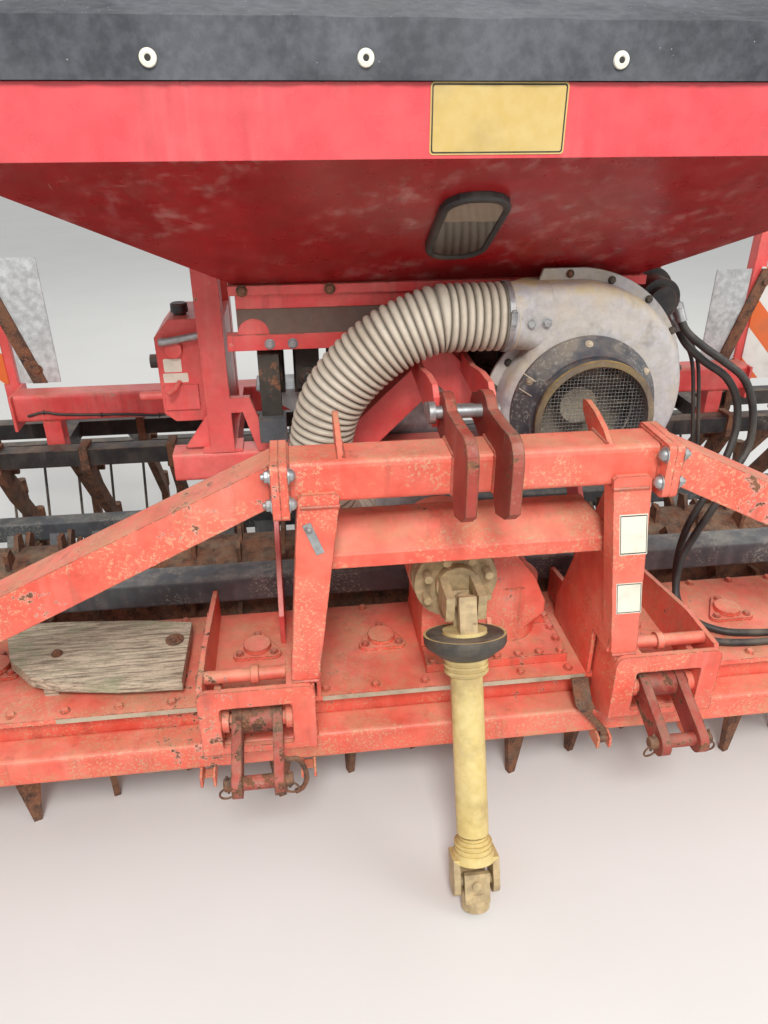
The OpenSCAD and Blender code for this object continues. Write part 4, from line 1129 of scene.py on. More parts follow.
@dataclass
class SubAssembly:
    """What every sub-assembly has: the machine, and short calls for places on its drawing and new pieces."""

    machine: Machine

    def build(self) -> None:
        """Makes the pieces, in each sub-assembly's own way."""
        raise NotImplementedError

    def spot(self, x: float, y: float, z: float) -> Vector:
        """Turns a place on the drawing, in millimetres, into the part's frame in metres."""
        return Vector((x * MM, self.machine.front + y * MM, z * MM))

    def spots(self, places: Iterable[Place]) -> list[Vector]:
        """Turns places on the drawing into the part's frame."""
        return [self.spot(*place) for place in places]

    def wall(self, pairs: Iterable[Pair], depth: float) -> list[Vector]:
        """Turns pairs of sideways place and height at one depth into the part's frame."""
        return [self.spot(x, depth, z) for x, z in pairs]

    def add(self, name: str, shape: Shape, slot: Slot, coat: Coat | None = None, body: str = "frame",
            replaces: Sequence[str] = ()) -> bpy.types.Object:
        """Puts a new piece on a body in its finish.

        Args:
            name: The piece's name.
            shape: The piece's faces.
            slot: The record's slot that it belongs to.
            coat: A finish of its own, where it differs from the slot's.
            body: The body that it rides on.
            replaces: The nodes that it stands for.

        Returns:
            The piece.
        """
        piece = shape.piece(name)
        piece.data.materials.append(self.machine.materials[coat or slot])
        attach(piece, body)
        if replaces:
            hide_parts(*replaces)
        LOG.info("%s on %s, %d faces", name, body, len(piece.data.polygons))
        return piece


@dataclass
class Studio(SubAssembly):
    """The camera, the lamps and the pale floor."""

    eye: Place = (-322.0, -1167.0, 1521.0)
    yaw: float = math.radians(7.17)
    pitch: float = math.radians(28.09)
    roll: float = math.radians(-0.13)
    focal_px: float = 753.4
    image_height_px: float = 1024.0
    sensor: float = 36.0
    floor_reach: float = 60.0
    # Name, place, what it points at, diameter and power of each lamp
    lamp_table: tuple[tuple[str, Place, Place, float, float], ...] = (
        ("key", (-0.4, -3.9, 4.2), (0.0, -0.4, 0.7), 1.4, 190.0),
        ("fill", (3.8, -2.6, 3.0), (0.2, 0.0, 0.7), 3.0, 70.0),
        ("back", (0.5, 4.5, 4.2), (0.0, 0.4, 0.8), 3.0, 70.0))
    sky: Colour = (0.86, 0.88, 0.9)
    sky_strength: float = 0.75

    def build(self) -> None:
        """Makes the camera first and then the stage."""
        self.camera()
        self.floor()
        self.lamps()

    def camera(self) -> None:
        """Makes the camera at the photograph's viewing angle."""
        ahead = Vector((math.sin(self.yaw) * math.cos(self.pitch), math.cos(self.yaw) * math.cos(self.pitch),
                        -math.sin(self.pitch)))
        right = Vector((math.cos(self.yaw), -math.sin(self.yaw), 0.0))
        above = right.cross(ahead)
        rolled = math.cos(self.roll) * right + math.sin(self.roll) * above
        above = math.cos(self.roll) * above - math.sin(self.roll) * right
        data = bpy.data.cameras.new("camera")
        data.sensor_width = self.sensor
        data.lens = self.sensor * self.focal_px / self.image_height_px
        data.clip_start, data.clip_end = 0.02, 400.0
        camera = bpy.data.objects.new("camera", data)
        bpy.context.scene.collection.objects.link(camera)
        turn = Matrix((rolled, above, -ahead)).transposed().to_4x4()
        camera.matrix_world = Matrix.Translation(self.spot(*self.eye)) @ turn
        bpy.context.scene.camera = camera

    def floor(self) -> None:
        """Makes the pale floor, which keeps the machine's shadow."""
        shape = Shape()
        shape.put(np.array([(x * self.floor_reach, y * self.floor_reach, 0)
                            for x, y in ((-1, -1), (1, -1), (1, 1), (-1, 1))]), [(0, 1, 2, 3)])
        floor = shape.piece("floor")
        surface = Surface("pale_floor", srgb(214, 212, 207), self.machine.effects)
        surface.lay(surface.noise(1.6, 4.0), srgb(224, 222, 218))
        surface.shade(Roughness=0.8)
        floor.data.materials.append(surface.material)

    def lamps(self) -> None:
        """Makes a soft key from the viewer's side, a weak fill and an even sky."""
        for name, place, aim, size, power in self.lamp_table:
            data = bpy.data.lights.new(name, "AREA")
            data.shape = "DISK"
            data.size = size
            data.energy = power
            lamp = bpy.data.objects.new(name, data)
            bpy.context.scene.collection.objects.link(lamp)
            lamp.location = place
            lamp.rotation_euler = (Vector(aim) - Vector(place)).to_track_quat("-Z", "Y").to_euler()
        world = bpy.data.worlds.new("studio_world")
        world.use_nodes = True
        world.node_tree.nodes["Background"].inputs["Color"].default_value = rgba(self.sky)
        world.node_tree.nodes["Background"].inputs["Strength"].default_value = self.sky_strength
        bpy.context.scene.world = world


@dataclass
class AirHose(SubAssembly):
    """The corrugated hose from the fan to the injector, with the clamp at its start."""

    route: tuple[Place, ...] = (
        (126.7, 322, 1152), (10, 322, 1152), (-40, 322, 1147), (-120, 324, 1112), (-190, 328, 1055),
        (-242, 334, 985), (-266, 342, 905), (-270, 348, 830), (-262, 352, 765), (-250, 372, 700),
        (-232, 415, 655), (-210, 460, 640), (-200, 490, 640), (-200, 509.7, 640))
    crest: float = 0.068
    depth: float = 0.0065
    pitch: float = 0.016
    rings_per_wave: int = 8
    sides: int = 40
    clamp_at: float = 116.0
    clamp_radii: Pair = (0.0675, 0.0705)
    clamp_width: float = 0.011

    def build(self) -> None:
        """Makes the hose in place of its plain tube, and its clamp."""
        path = smooth_path(self.spots(self.route), self.pitch / self.rings_per_wave)
        phase = 2 * math.pi * np.arange(len(path)) / self.rings_per_wave
        radii = self.crest - self.depth * (0.5 - 0.5 * np.cos(phase)) ** 2.2
        shape = Shape()
        shape.tube(path, radii, self.sides)
        hose = self.add("corrugated_air_hose", shape, Slot.HOSE_PLASTIC, replaces=["air_hose"])
        # Each point's groove depth, by which the hose's finish paints shade into the grooves
        groove = hose.data.attributes.new("groove", "FLOAT", "POINT")
        depths = np.repeat(np.clip((self.crest - radii) / self.depth, 0, 1) ** 2, self.sides)
        groove.data.foreach_set("value", depths.astype(np.float32))
        band = Shape()
        centre = self.spot(self.clamp_at, *self.route[0][1:])
        inner, outer = self.clamp_radii
        width = self.clamp_width
        profile = [(0, inner), (0, outer), (width, outer), (width, inner), (0, inner)]
        band.lathe(centre, (-1, 0, 0), profile, 48, capped=False)
        screw = centre + Vector((-width / 2, -outer, 0.012))
        band.box(screw + Vector((-0.006, -0.006, -0.012)), screw + Vector((0.006, 0.002, 0.012)))
        band.bolt(screw + Vector((0, -0.002, 0.012)), UP, 0.005, Head.HEX)
        self.add("air_hose_clamp", band, Slot.ZINC)


@dataclass
class Tarpaulin(SubAssembly):
    """The hopper's cover: a coated sheet over bows with a skirt on all four sides."""

    half_x: float = 806.0
    front: float = -6.0
    back: float = 1158.0
    low: float = 1556.0
    fold: float = 1628.0
    crown: float = 74.0
    sag: float = 5.0
    # How far in from the sides, and from the front and back as a share of the depth, the roof rises
    side_rise: float = 260.0
    end_rise: float = 0.32
    step: float = 14.0
    drops: int = 7
    # What the flat cloth has more, sideways and in depth
    hem: Pair = (0.05, 0.06)

    def roof(self, x: float, y: float) -> float:
        """Returns the roof's height at a place on the drawing.

        Args:
            x: The place sideways.
            y: Its depth.

        Returns:
            The height in millimetres.
        """
        side = min(1.0, (self.half_x - abs(x)) / self.side_rise)
        share = (y - self.front) / (self.back - self.front)
        across = min(1.0, share / self.end_rise, (1 - share) / self.end_rise)
        rise = math.sin(QUARTER * min(1, max(0, across))) * math.sin(QUARTER * max(0.0, side))
        sag = self.sag * math.sin(math.pi * share) * (0.5 - 0.5 * math.cos(x / self.half_x * 3 * math.pi))
        return self.fold + self.crown * rise - sag * rise

    @staticmethod
    def wave(along: float, share: float) -> float:
        """Returns how far the skirt stands out at a place along it, for a share of its drop."""
        broad = noise.noise(Vector((along * 0.021, share * 2.2, 3.0)))
        narrow = noise.noise(Vector((along * 0.06, share * 5.0, 7.0)))
        return 3.4 * broad + 2.2 * narrow + 1.6 * math.sin(share * math.pi)

    def build(self) -> None:
        """Makes the sheet in place of its plain solid."""
        across = np.linspace(-self.half_x, self.half_x, round(2 * self.half_x / self.step))
        deep = np.linspace(self.front, self.back, round((self.back - self.front) / self.step))
        rows, columns = len(deep), len(across)
        points = [self.spot(x, y, self.roof(x, y) + 2.0 * noise.noise(Vector((x * 0.012, y * 0.01, 0))))
                  for y in deep for x in across]
        faces = [(r * columns + c, r * columns + c + 1, (r + 1) * columns + c + 1, (r + 1) * columns + c)
                 for r in range(rows - 1) for c in range(columns - 1)]
        rim = ([(x, self.front, 0, -1) for x in across] + [(self.half_x, y, 1, 0) for y in deep[1:]]
               + [(x, self.back, 0, 1) for x in across[-2::-1]]
               + [(-self.half_x, y, -1, 0) for y in deep[-2:0:-1]])
        upper = ([*range(columns)] + [r * columns + columns - 1 for r in range(1, rows)]
                 + [(rows - 1) * columns + c for c in range(columns - 2, -1, -1)]
                 + [r * columns for r in range(rows - 2, 0, -1)])
        for level in range(1, self.drops + 1):
            share = level / self.drops
            lower = [len(points) + index for index in range(len(rim))]
            for x, y, out_x, out_y in rim:
                out = self.wave(x + y, share)
                points.append(self.spot(x + out_x * out, y + out_y * out,
                                        self.fold + (self.low - self.fold) * share))
            for index in range(len(rim)):
                after = (index + 1) % len(rim)
                faces.append((upper[index], lower[index], lower[after], upper[after]))
            upper = lower
        shape = Shape()
        shape.put(np.array(points), faces)
        sheet = self.add("hopper_sheet", shape, Slot.PVC_SHEET, replaces=["tarpaulin"])


@dataclass
class PressureHoses(SubAssembly):
    """The two oil hoses from the fan's motor, with their fittings and thin pipes."""

    first: tuple[Place, ...] = (
        (545, 440, 1130), (560, 420, 1085), (600, 400, 1050), (654, 390, 1015), (706, 380, 974),
        (737, 370, 903), (738, 355, 821), (707, 340, 765), (667, 325, 682), (626, 315, 608), (595, 300, 548),
        (584, 280, 482), (580, 235, 430), (600, 185, 407), (650, 160, 401), (720, 150, 400.2),
        (800, 150, 400.2), (880, 150, 406))
    second: tuple[Place, ...] = (
        (545, 455, 1105), (575, 435, 1050), (620, 418, 1010), (673, 405, 975), (706, 395, 923),
        (712, 380, 854), (690, 362, 780), (650, 345, 700), (618, 340, 620), (606, 335, 548), (604, 322, 482),
        (606, 290, 430), (630, 240, 405), (680, 200, 400.2), (740, 185, 400.2), (810, 180, 400.2),
        (880, 180, 406))
    radius: float = 0.009
    step: float = 0.012
    pipe: tuple[Place, ...] = ((560, 452, 1080), (585, 448, 1043), (610, 446, 990), (632, 444, 880),
                               (646, 442, 777), (640, 470, 735), (590, 500, 720))
    pipe_shifts: Pair = (0.0, 14.0)
    pipe_radius: float = 0.0045
    union: Place = (535.0, 445.0, 1132.0)
    elbow_radius: float = 0.0095

    def build(self) -> None:
        """Makes both hoses, their end fittings and the pipes beside them."""
        for name, route, stands_for in (("oil_hose_front", self.first, ["fan_hoses"]),
                                        ("oil_hose_rear", self.second, [])):
            path = smooth_path(self.spots(route), self.step)
            shape = Shape()
            shape.tube(path, self.radius, 14)
            hose = self.add(name, shape, Slot.HOSE_RUBBER, replaces=stands_for)
            ends = Shape()
            self.fitting(ends, path[0], path[0] - path[1])
            self.fitting(ends, path[-1], path[-1] - path[-2])
            fitting = self.add(name + "_fittings", ends, Slot.ZINC)
        elbow = Shape()
        centre = self.spot(*self.union)
        elbow.disc(centre, (1, 0, 0), -0.001, 0.012, 0.0145, 6)
        for route in (self.first, self.second):
            bend = [centre, centre + Vector((0.014, 0, -0.001)), self.spot(*route[0])]
            elbow.tube(smooth_path(bend, 0.004), self.elbow_radius, 12)
        self.add("motor_elbows", elbow, Slot.ZINC)
        pipes = Shape()
        for shift in self.pipe_shifts:
            route = self.spots((x + shift, y, z) for x, y, z in self.pipe)
            pipes.tube(smooth_path(route, self.step), self.pipe_radius, 8)
        self.add("drain_pipes", pipes, Slot.BLACK_RUBBER)

    @staticmethod
    def fitting(shape: Shape, place: np.ndarray, out: np.ndarray) -> None:
        """Adds a pressed sleeve over a hose's end with a hexagon nut beyond it.

        Args:
            shape: The faces that it joins.
            place: The hose's end.
            out: The direction out of the hose.
        """
        way = out / np.linalg.norm(out)
        start, end = -0.034, -0.004
        shape.lathe(place, way, [(start, 0.0092), (start, 0.0118), (end, 0.0118), (end, 0.0092)], 16)
        shape.disc(place, way, end, 0.009, 0.0125, 6)


@dataclass
class HopperTrim(SubAssembly):
    """The blank plate on the rim band, the cover's press studs, and the window's rubber and pane."""

    plate: tuple[float, float, float, float] = (-109.0, 88.0, 1464.0, 1555.0)
    plate_thick: float = 1.2
    band_front: float = 2.0
    studs: tuple[Pair, ...] = ((-481, 1581), (-199, 1582), (155, 1581), (502, 1581))
    stud_front: float = -8.0
    # Distance out of the skirt and radius of each line of a stud's cap, and of its middle
    stud_cap: tuple[Pair, ...] = ((0, 0), (0, 0.0115), (0.003, 0.0105), (0.0045, 0.006), (0.003, 0.004),
                                  (0.0032, 0))
    stud_heart: tuple[Pair, ...] = ((0.003, 0), (0.003, 0.0042), (0.0036, 0.004), (0.0036, 0))
    window_x: float = -8.0
    # Depth and height of the sloping front's lower and upper edge
    slope_low: Pair = (415.0, 1210.0)
    slope_high: Pair = (2.0, 1459.0)
    window_up: float = 262.0
    window_size: Pair = (118.0, 245.0)
    window_corner: float = 50.0
    pane_out: Pair = (10.1, 11.1)
    # How far each line of the rubber bead lies inside the window's edge, and how far it stands out
    bead: tuple[Pair, ...] = ((0, 10), (2, 14), (5, 15.5), (9, 15.5), (12, 13.5), (13, 10))

    def build(self) -> None:
        """Makes the trim, and paints the slopes below the band in a darker red than the band, as painted
        shade.
        """
        band_low = self.slope_high[1] - 0.5
        # Below the band the hopper takes the darker red of painted shade.
        self.machine.repaint("hopper", Coat.HOPPER_SLOPE, lambda spot: spot.z <= band_low)
        self.machine.repaint("hopper", Coat.HOPPER_BAND, lambda spot: spot.z > band_low)
        self.blank_plate()
        self.press_studs()
        self.window()

    def blank_plate(self) -> None:
        """Makes the plate and the line round its edge."""
        low_x, high_x, low_z, high_z = self.plate
        plate = Shape()
        plate.slab(self.wall(rounded(low_x, high_x, low_z, high_z, 5), self.band_front),
                   (0, -self.plate_thick * MM, 0))
        self.add("hopper_plate", plate, Slot.GUARD_PLASTIC, Coat.YELLOW_PLATE)
        line = Shape()
        outer, inner = (rounded(low_x + inset, high_x - inset, low_z + inset, high_z - inset, corner)
                        for inset, corner in ((2, 4), (4, 3)))
        front = self.band_front - self.plate_thick
        line.border(self.wall(outer, front), self.wall(inner, front), LINE_DEPTH)
        self.add("hopper_plate_border", line, Slot.BLACK_PAINT, Coat.BLACK_LINE)

    def press_studs(self) -> None:
        """Makes the studs that hold the cover's skirt, each with a dark middle."""
        caps, hearts = Shape(), Shape()
        for seat in self.wall(self.studs, self.stud_front):
            caps.lathe(seat, AHEAD, self.stud_cap)
            hearts.lathe(seat, AHEAD, self.stud_heart, 16)
        self.add("press_studs", caps, Slot.BOARD_SHEET, Coat.CREAM_LABEL)
        self.add("press_stud_hearts", hearts, Slot.BLACK_RUBBER, Coat.BLACK_LINE)

    def on_slope(self, across: float, along: float, out: float) -> Vector:
        """Returns a place on the hopper's sloping front.

        Args:
            across: Distance sideways from the window's middle, in millimetres.
            along: Distance up the slope from the window's middle.
            out: Distance out of the slope.

        Returns:
            The place in the part's frame.
        """
        tilt = math.atan2(self.slope_high[1] - self.slope_low[1], self.slope_low[0] - self.slope_high[0])
        up = self.window_up + along
        depth, height = self.slope_low
        return self.spot(self.window_x + across, depth - up * math.cos(tilt) - out * math.sin(tilt),
                         height + up * math.sin(tilt) - out * math.cos(tilt))

    def window_line(self, inset: float, out: float) -> list[Vector]:
        """Returns the window's outline.

        Args:
            inset: How far it lies inside the window's edge.
            out: How far it lies out of the slope.

        Returns:
            The outline's points.
        """
        half_w, half_h = self.window_size[0] / 2 - inset, self.window_size[1] / 2 - inset
        outline = rounded(-half_w, half_w, -half_h, half_h, self.window_corner - inset)
        return [self.on_slope(a, b, out) for a, b in outline]

    def window(self) -> None:
        """Makes the window's rubber bead and its pane."""
        bead = Shape()
        lines = [self.window_line(inset, out) for inset, out in self.bead]
        bead.loft([*lines, lines[0]], capped=False)
        self.add("window_rubber", bead, Slot.BLACK_RUBBER)
        pane = Shape()
        low, high = self.pane_out
        thick = self.on_slope(0, 0, high) - self.on_slope(0, 0, low)
        pane.slab(self.window_line(self.bead[-1][0], low), thick)
        self.add("window_pane", pane, Slot.BLACK_RUBBER, Coat.WINDOW_PANE)


@dataclass
class FanShell(SubAssembly):
    """The fan's cast scroll, with its rounded front, its flange and the outlet for the hose."""

    axle: Pair = (278.0, 966.0)
    eye: float = 112.0
    axle_hole: float = 24.0
    # The scroll starts at this angle, runs through this turn and grows from its small radius
    cut_off: float = 140.0
    turn: float = 310.0
    small: float = 162.0
    growth: float = 90.0
    stub: float = 86.0
    nose: float = 30.0
    # Depths of the front, of the flange's faces, of the back and of the inside's two ends
    front: float = 270.0
    flange_front: float = 340.0
    flange_back: float = 348.0
    back: float = 374.0
    inner_back: float = 366.0
    inner_front: float = 279.0
    flange: float = 22.0
    wall_thick: float = 12.0
    chamfer: float = 20.0
    # Sideways place, half depth, half height, and the front and rear corners' radii of each outlet section
    outlet: tuple[tuple[float, float, float, float, float], ...] = (
        (212, 51.6, 64.6, 30, 3), (180, 51.7, 64.7, 30, 3), (164, 53, 65.3, 32, 8), (152, 56, 66, 40, 24),
        (142, 61, 66.8, 52, 44), (133, 66, 67.4, 64, 62), (127, 67.5, 67.5, 67.5, 67.5),
        (116, 67.5, 67.5, 67.5, 67.5))
    outlet_centre: Pair = (322.0, 1153.0)
    # Sideways place and height of each bolt on the flange, beside the axle
    flange_bolts: tuple[Pair, ...] = (
        (-31, 263), (59, 248), (145, 207), (208, 140), (237, 56), (218, -60), (160, -150), (60, -196),
        (-50, -180), (-130, -120), (-168, -40), (-173, 29), (-146, 84))
    outlet_bolts: tuple[Place, ...] = ((150, 266, 1149), (184, 270, 1149))
    ring_bolts: tuple[float, ...] = (35, 94, 150, 215, 270, 325)
    ring_bolt_radius: float = 144.0
    ring_bolt_depth: float = 248.0

    def outline(self, extra: float) -> np.ndarray:
        """Returns the scroll's outline beside the axle.

        Args:
            extra: How far it lies outside the scroll's own outline, in millimetres.

        Returns:
            One row of sideways place and height for each point.
        """
        turns = np.linspace(0, 1, 92)
        angles = np.radians(self.cut_off + self.turn * turns)
        radii = self.small + self.growth * turns * (3 + turns) / 4 + extra
        spiral = np.stack([radii * np.cos(angles), radii * np.sin(angles)], axis=1)
        top = spiral[-1, 1]
        flat = [(-self.stub * share, top) for share in np.linspace(0.2, 1, 5)]
        side = [(-self.stub - (abs(spiral[0, 0]) - self.stub) * share, top + (spiral[0, 1] - top) * share)
                for share in np.linspace(0.2, 0.8, 4)]
        return np.vstack([spiral, flat, side])

    def beside_axle(self, points: Iterable[Pair], depth: float) -> list[Vector]:
        """Places points that are counted from the axle at one depth."""
        return self.wall(((self.axle[0] + x, self.axle[1] + z) for x, z in points), depth)

    def circle(self, depth: float, radius: float) -> list[Vector]:
        """Returns a circle round the axle with as many points as the scroll's outline."""
        points = self.outline(0.0)
        return self.beside_axle(radius * points / np.linalg.norm(points, axis=1)[:, None], depth)

    def build(self) -> None:
        """Makes the scroll in place of its plain solid, the outlet and the bolts."""
        skin = [(self.front + self.nose * (1 - math.cos(turn)), self.nose * (math.sin(turn) - 1))
                for turn in np.linspace(0, QUARTER, 7)]
        skin += [(self.flange_front, 0), (self.flange_front, self.flange), (self.flange_back, self.flange),
                 (self.flange_back, 0), (self.back, 0), (self.back, -self.chamfer)]
        inside = ((self.inner_back, -self.wall_thick), (self.inner_front, -self.wall_thick))
        rings = [self.circle(self.front, self.eye),
                 *(self.beside_axle(self.outline(extra), depth) for depth, extra in skin),
                 self.circle(self.back, self.axle_hole), self.circle(self.inner_back, self.axle_hole),
                 *(self.beside_axle(self.outline(extra), depth) for depth, extra in inside),
                 self.circle(self.inner_front - 1, self.eye)]
        shape = Shape()
        shape.loft([*rings, rings[0]], capped=False)
        self.add("fan_scroll", shape, Slot.CAST_ALUMINIUM, replaces=["fan_housing"])
        outlet = Shape()
        outlet.loft([self.section(*sizes) for sizes in self.outlet])
        self.add("fan_outlet", outlet, Slot.CAST_ALUMINIUM)
        self.bolts()

    def section(self, x: float, half_y: float, half_z: float, front: float, back: float) -> list[Vector]:
        """Returns an outlet section, whose front and rear corners differ.

        Args:
            x: The section's place sideways.
            half_y: Half of its depth.
            half_z: Half of its height.
            front: The front corners' radius.
            back: The rear corners' radius.

        Returns:
            The section's points.
        """
        corners = ((half_y - back, half_z - back, back), (front - half_y, half_z - front, front),
                   (front - half_y, front - half_z, front), (half_y - back, back - half_z, back))
        return [self.spot(x, self.outlet_centre[0] + a, self.outlet_centre[1] + b)
                for a, b in corner_arcs(corners, 12)]

    def bolts(self) -> None:
        """Makes the bolts on the flange, the outlet and the suction ring."""
        flange, pair, ring = Shape(), Shape(), Shape()
        for seat in self.beside_axle(self.flange_bolts, self.flange_front):
            flange.bolt(seat, AHEAD, 0.0065, Head.HEX)
        self.add("fan_flange_bolts", flange, Slot.ZINC, Coat.SHADED_METAL)
        for seat in self.spots(self.outlet_bolts):
            pair.bolt(seat, AHEAD, 0.008, Head.HEX)
        self.add("fan_outlet_bolts", pair, Slot.ZINC)
        for turn in map(math.radians, self.ring_bolts):
            x, z = math.cos(turn), math.sin(turn)
            seat = self.spot(self.axle[0] + self.ring_bolt_radius * x, self.ring_bolt_depth,
                             self.axle[1] + self.ring_bolt_radius * z)
            ring.bolt(seat, Vector((x, -0.8, z)), 0.0062, Head.DOME)
        self.add("fan_ring_bolts", ring, Slot.ZINC, Coat.DIRTY_SEAM)


@dataclass
class FanFace(SubAssembly):
    """The suction ring's colours and seams, and the fine wire mesh before the wheel."""

    axle: Pair = (278.0, 966.0)
    lip_back: float = 203.5
    wheel_back: float = 400.0
    mesh_front: float = 214.5
    mesh_radius: float = 111.0
    mesh_gap: float = 7.4
    wire: float = 0.00055
    weave: float = 0.7
    seams: tuple[tuple[Place, Place], ...] = (((133, 243, 1059), (160, 232, 1042)),
                                              ((130, 243, 1026), (158, 232, 1009)))

    def build(self) -> None:
        """Paints the ring, lip and wheel, and makes the mesh in place of the plain guard."""
        self.machine.repaint("fan_suction_ring", Coat.FAN_RING)
        self.machine.repaint("fan_suction_ring", Coat.FAN_LIP, lambda spot: spot.y < self.lip_back)
        self.machine.repaint("fan_impeller", Coat.FAN_INSIDE, lambda spot: spot.y < self.wheel_back)
        mesh = Shape()
        lines = math.ceil(self.mesh_radius / self.mesh_gap) - 1
        x, z = self.axle
        for off in (index * self.mesh_gap for index in range(-lines, lines + 1)):
            half = math.sqrt(self.mesh_radius**2 - off**2)
            upright = self.wall([(x + off, z - half), (x + off, z + half)], self.mesh_front + self.weave)
            level = self.wall([(x - half, z + off), (x + half, z + off)], self.mesh_front - self.weave)
            mesh.tube(upright, self.wire, 4)
            mesh.tube(level, self.wire, 4)
        self.add("fan_wire_mesh", mesh, Slot.ZINC, replaces=["fan_guard"])
        beads = Shape()
        for first, last in (self.spots(seam) for seam in self.seams):
            beads.tube([first, (first + last) / 2, last], 0.0011, 6)
        self.add("fan_ring_seams", beads, Slot.CAST_ALUMINIUM, Coat.DIRTY_SEAM)


@dataclass(frozen=True)
class BoltSet:
    """Like fasteners: where they sit, which way they face, their size and kind."""

    name: str
    slot: Slot
    places: Sequence[Place]
    facing: Place
    radius: float
    head: Head = Head.HEX
    coat: Coat | None = None


@dataclass
class Fasteners(SubAssembly):
    """The bolts and nuts of the harrow, the headstock and the drill."""

    cover_front: float = 126.0
    cover_back: float = 420.0
    cover_top: float = 391.0
    cover_step: float = 111.0
    cover_reach: float = 1340.0
    cover_start: float = -956.0
    # The cover's bolts leave out the hitch boxes on both sides and the gearbox at the back
    boxes: Pair = (312.0, 562.0)
    gearbox: Pair = (-70.0, 280.0)
    boss_radius: float = 46.0
    boss_middle: float = 284.0
    boss_top: float = 399.0
    rotors: int = 10
    rotor_pitch: float = 295.0
    covered_rotor: int = 5
    gearbox_plate: float = 415.0
    # Depth and height of the bolts on each side's flange, packer arm and hitch box
    flange: tuple[Pair, ...] = ((9, 970), (9, 915))
    arm: tuple[Pair, ...] = ((360, 400), (440, 440), (960, 360))
    box: tuple[Pair, ...] = ((135, 440), (250, 430), (320, 425))
    outlet_flange: tuple[Place, ...] = ((-412, 401, 1200.5), (-235, 401, 1200.5))
    metering_front: tuple[Place, ...] = ((-364, 415, 1087), (-316, 415, 1087))
    cap_pitch: float = 82.0
    board_front: float = 1091.0

    def build(self) -> None:
        """Makes each set as one piece."""
        for bolts in (*self.cover_sets(), *self.headstock_sets(), *self.drill_sets()):
            shape = Shape()
            for seat in self.spots(bolts.places):
                shape.bolt(seat, bolts.facing, bolts.radius, bolts.head)
            self.add(bolts.name, shape, bolts.slot, bolts.coat)

    def cover_sets(self) -> list[BoltSet]:
        """Returns the bolts of the trough's cover, the rotor bearings and the gearbox.

        Returns:
            The sets.
        """
        stations = [self.cover_start + index * self.cover_step for index in range(-3, 22)]
        free = [x for x in stations
                if abs(x) < self.cover_reach and not self.boxes[0] < abs(x) < self.boxes[1]]
        behind = [x for x in free if not self.gearbox[0] < x < self.gearbox[1]]
        centres = [(index - (self.rotors - 1) / 2) * self.rotor_pitch for index in range(self.rotors)
                   if index != self.covered_rotor]
        bosses = [(x + self.boss_radius * math.cos(turn),
                   self.boss_middle + self.boss_radius * math.sin(turn), self.boss_top)
                  for x in centres for turn in (QUARTER, math.pi * 7 / 6, math.pi * 11 / 6)]
        plate = [(x, 160, self.gearbox_plate) for x in range(-45, 256, 50)]
        plate += [(259, y, self.gearbox_plate) for y in range(205, 400, 45)]
        front = [(x, self.cover_front, self.cover_top) for x in free]
        back = [(x, self.cover_back, self.cover_top) for x in behind]
        paint = Slot.HARROW_PAINT
        return [BoltSet("cover_bolts_front", paint, front, UP, 0.0085),
                BoltSet("cover_bolts_back", paint, back, UP, 0.0085),
                BoltSet("bearing_bolts", paint, bosses, UP, 0.008, coat=Coat.WELD),
                BoltSet("gearbox_bolts", paint, plate, UP, 0.0085)]

    def headstock_sets(self) -> list[BoltSet]:
        """Returns each side's flange bolts with their nuts, and the nuts on the arms.

        Returns:
            The sets.
        """
        return [BoltSet(f"{name}_{word}", slot, [(side * x, y, z) for y, z in spots], (side * facing, 0, 0),
                        radius, head)
                for side, word in SIDES
                for name, slot, x, spots, facing, radius, head in (
                    ("flange_bolts", Slot.ZINC, 340, self.flange, -1, 0.012, Head.DOME),
                    ("flange_nuts", Slot.ZINC, 370, self.flange, 1, 0.011, Head.NUT),
                    ("arm_bolts", Slot.RUSTY_STEEL, 1492, self.arm, 1, 0.014, Head.NUT),
                    ("box_bolts", Slot.RUSTY_STEEL, 557, self.box, 1, 0.010, Head.HEX))]

    def drill_sets(self) -> list[BoltSet]:
        """Returns the bolts under the hopper, on the metering unit's front and on the boards.

        Returns:
            The sets.
        """
        caps = [((index - 4.5) * self.cap_pitch, 484, 990) for index in range(10)]
        boards = [(side * x, self.board_front, low + up) for side, low in ((1, 728), (-1, 811))
                  for x, up in ((1062, 40), (1168, 315))]
        return [BoltSet("outlet_flange_bolts", Slot.RUSTY_STEEL, self.outlet_flange, AHEAD, 0.009),
                BoltSet("metering_front_bolts", Slot.ZINC, self.metering_front, AHEAD, 0.0085),
                BoltSet("metering_caps", Slot.BLACK_PAINT, caps, AHEAD, 0.014),
                BoltSet("board_bolts", Slot.RUSTY_STEEL, boards, AHEAD, 0.012)]


